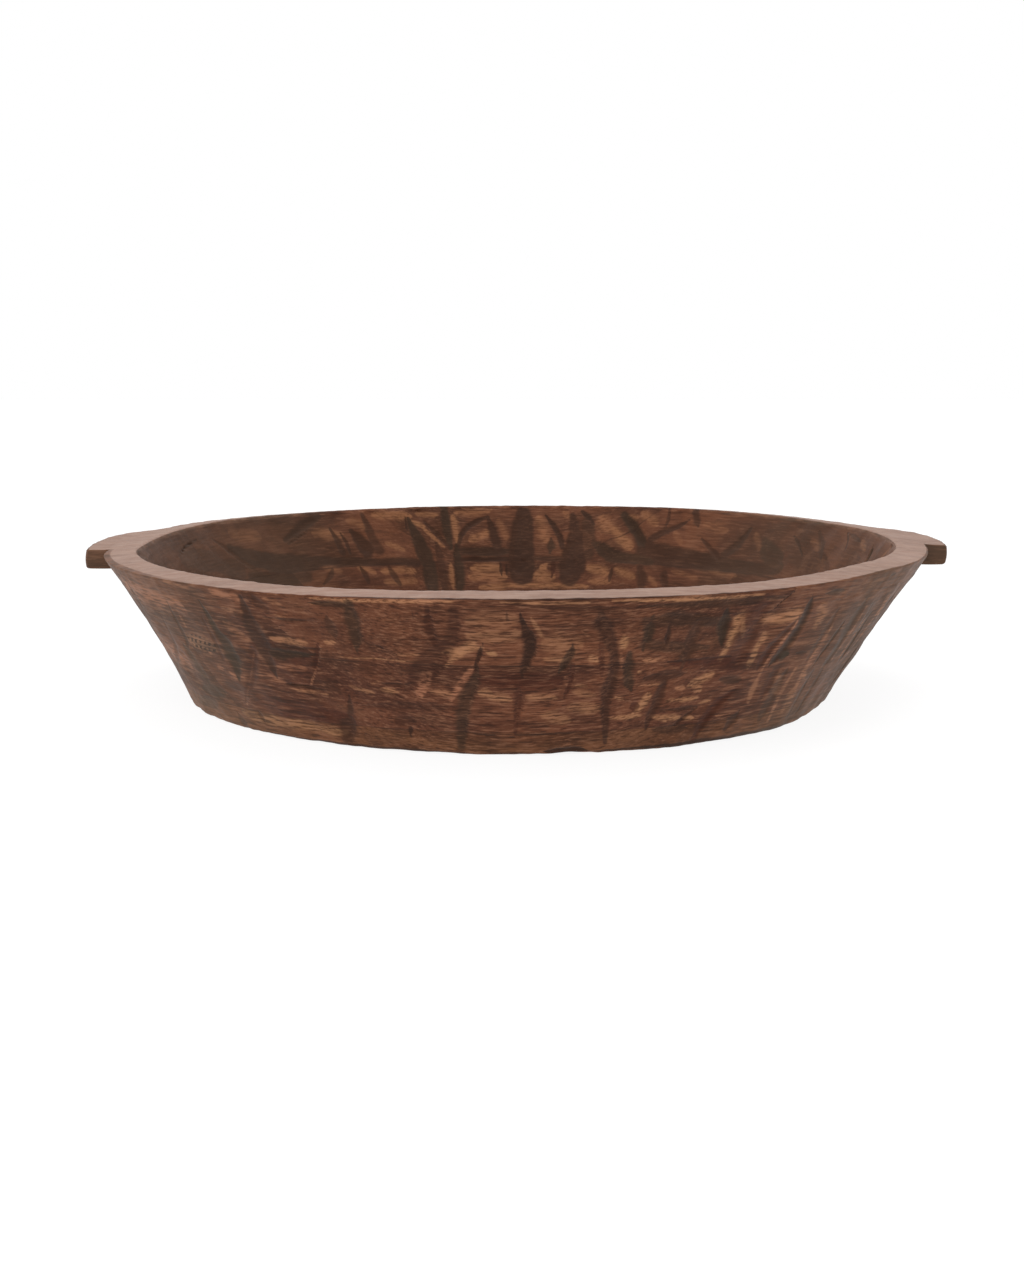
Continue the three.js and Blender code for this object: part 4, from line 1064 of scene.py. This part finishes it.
# ------------------------------------------------------------------ cut it into its boards
FAR = 0.4
LOW, HIGH = SEAM_LOW / 1000, SEAM_HIGH / 1000
HALF, FULL, WIDE = BOARD / 2000, BOARD / 1000, BOARD * 1.5 / 1000
LAYERS = {"rim": (HIGH, .2), "wall": (LOW, HIGH), "base": (-.1, LOW)}
BOARDS = [
    ("rim_front_strip", "rim", -FAR, -WIDE, 0), ("rim_front_left_board", "rim", -WIDE, -HALF, -1),
    ("rim_front_right_board", "rim", -WIDE, -HALF, 1), ("rim_lug_left_board", "rim", -HALF, HALF, -1),
    ("rim_lug_right_board", "rim", -HALF, HALF, 1), ("rim_back_left_board", "rim", HALF, WIDE, -1),
    ("rim_back_right_board", "rim", HALF, WIDE, 1), ("rim_back_strip", "rim", WIDE, FAR, 0),
    ("wall_front_board", "wall", -FAR, -FULL, 0), ("wall_front_left_board", "wall", -FULL, 0, -1),
    ("wall_front_right_board", "wall", -FULL, 0, 1), ("wall_back_left_board", "wall", 0, FULL, -1),
    ("wall_back_right_board", "wall", 0, FULL, 1), ("wall_back_board", "wall", FULL, FAR, 0),
    ("base_front_board", "base", -FAR, -HALF, 0), ("base_centre_board", "base", -HALF, HALF, 0),
    ("base_back_board", "base", HALF, FAR, 0),
]


def box_object(name, x0, x1, y0, y1, z0, z1):
    me = bpy.data.meshes.new(name)
    v = [(x, y, z) for x in (x0, x1) for y in (y0, y1) for z in (z0, z1)]
    f = [(0, 1, 3, 2), (4, 6, 7, 5), (0, 4, 5, 1), (2, 3, 7, 6), (0, 2, 6, 4), (1, 5, 7, 3)]
    me.from_pydata(v, [], f)
    me.update()
    ob = bpy.data.objects.new(name, me)
    bpy.context.collection.objects.link(ob)
    return ob


def cut_piece(source, name, box):
    cutter = box_object("cutter_" + name, *box)
    mod = source.modifiers.new("cut", "BOOLEAN")
    mod.operation = "INTERSECT"
    mod.solver = "MANIFOLD"
    mod.object = cutter
    dg = bpy.context.evaluated_depsgraph_get()
    me = bpy.data.meshes.new_from_object(source.evaluated_get(dg), preserve_all_data_layers=True, depsgraph=dg)
    source.modifiers.clear()
    cm_ = cutter.data
    bpy.data.objects.remove(cutter)
    bpy.data.meshes.remove(cm_)
    me.name = name
    me.materials.clear()
    ob = bpy.data.objects.new(name, me)
    bpy.context.collection.objects.link(ob)
    return ob


import mathutils
tree = mathutils.kdtree.KDTree(len(verts))
for k, co in enumerate(verts):
    tree.insert(co, k)
tree.balance()


def fill_cut_vertices(me):
    """The vertices made by a cut take the values of the nearest one on the carved surface."""
    n = len(me.vertices)
    known = np.zeros(n, np.float32)
    me.attributes["orig"].data.foreach_get("value", known)
    co = np.zeros(n * 3, np.float32)
    me.vertices.foreach_get("co", co)
    co = co.reshape(-1, 3)
    bad = np.where(known < .999)[0]
    near = np.array([tree.find(co[k])[1] for k in bad], int)
    for key, val in attrs.items():
        cur = np.zeros(n, np.float32)
        me.attributes[key].data.foreach_get("value", cur)
        if len(bad):
            cur[bad] = val[near]
        me.attributes[key].data.foreach_set("value", cur)
    return len(bad)


layer_obs = {}
for lname, (z0, z1) in LAYERS.items():
    layer_obs[lname] = cut_piece(whole_ob, "layer_" + lname, (-FAR, FAR, -FAR, FAR, z0, z1))
SLOT = {"rim": "rim_wood", "wall": "wall_wood", "base": "base_wood"}
for n, (name, lname, y0, y1, side) in enumerate(BOARDS):
    z0, z1 = LAYERS[lname]
    ob = cut_piece(layer_obs[lname], "carved_" + name,
                   (0.0 if side > 0 else -FAR, 0.0 if side < 0 else FAR, y0, y1, z0 - .01, z1 + .01))
    me = ob.data
    fill_cut_vertices(me)
    at = me.attributes.new("board", "FLOAT", "POINT")
    at.data.foreach_set("value", np.full(len(me.vertices), float(n + 1), np.float32))
    me.materials.append(MATS[SLOT[lname]])
    for p in me.polygons:
        p.use_smooth = True
    me.set_sharp_from_angle(angle=math.radians(38))
    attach(ob, "root")
    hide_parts(name)
for ob in list(layer_obs.values()) + [whole_ob]:
    me = ob.data
    bpy.data.objects.remove(ob)
    bpy.data.meshes.remove(me)

# ------------------------------------------------------------------ floor, light, camera
fm = bpy.data.materials.new("floor_white")
fm.use_nodes = True
fb = fm.node_tree.nodes["Principled BSDF"]
fb.inputs["Base Color"].default_value = (.15, .15, .15, 1)
fb.inputs["Roughness"].default_value = .9
fb.inputs["Specular IOR Level"].default_value = 0.1
fb.inputs["Emission Color"].default_value = (1, 1, 1, 1)
fb.inputs["Emission Strength"].default_value = .88
me = bpy.data.meshes.new("floor")
S = 6.0
me.from_pydata([(-S, -S, 0), (S, -S, 0), (S, S, 0), (-S, S, 0)], [], [(0, 1, 2, 3)])
floor = bpy.data.objects.new("floor", me)
bpy.context.collection.objects.link(floor)
me.materials.append(fm)
floor.location.z = -0.0002

scene = bpy.context.scene
scene.view_settings.view_transform = "Standard"
scene.view_settings.look = "None"
world = bpy.data.worlds.new("studio")
world.use_nodes = True
world.node_tree.nodes["Background"].inputs[0].default_value = (1, 1, 1, 1)
world.node_tree.nodes["Background"].inputs[1].default_value = 1.0
scene.world = world


def area(name, loc, target, size, power):
    d = bpy.data.lights.new(name, "AREA")
    d.shape = "RECTANGLE"
    d.size, d.size_y = size
    d.energy = power
    ob = bpy.data.objects.new(name, d)
    bpy.context.collection.objects.link(ob)
    ob.location = loc
    import mathutils
    ob.rotation_euler = (mathutils.Vector(target) - mathutils.Vector(loc)).to_track_quat("-Z", "Y").to_euler()
    return ob


area("key", (-0.9, -1.6, 1.9), (0, 0, .05), (1.6, 1.2), 16)
area("top", (0.2, .5, 2.2), (0, 0, .05), (2.2, 1.6), 14)

cam = bpy.data.cameras.new("camera")
cam.sensor_width = 36.0
cam.lens = 1800.0 / 1283.0 * 36.0
cam.clip_start = 0.01
camera = bpy.data.objects.new("camera", cam)
bpy.context.collection.objects.link(camera)
camera.location = (-0.00352, -1.3028, 0.107 + 0.1453)
camera.rotation_euler = (math.radians(90 - 9.611), 0, 0)
scene.camera = camera
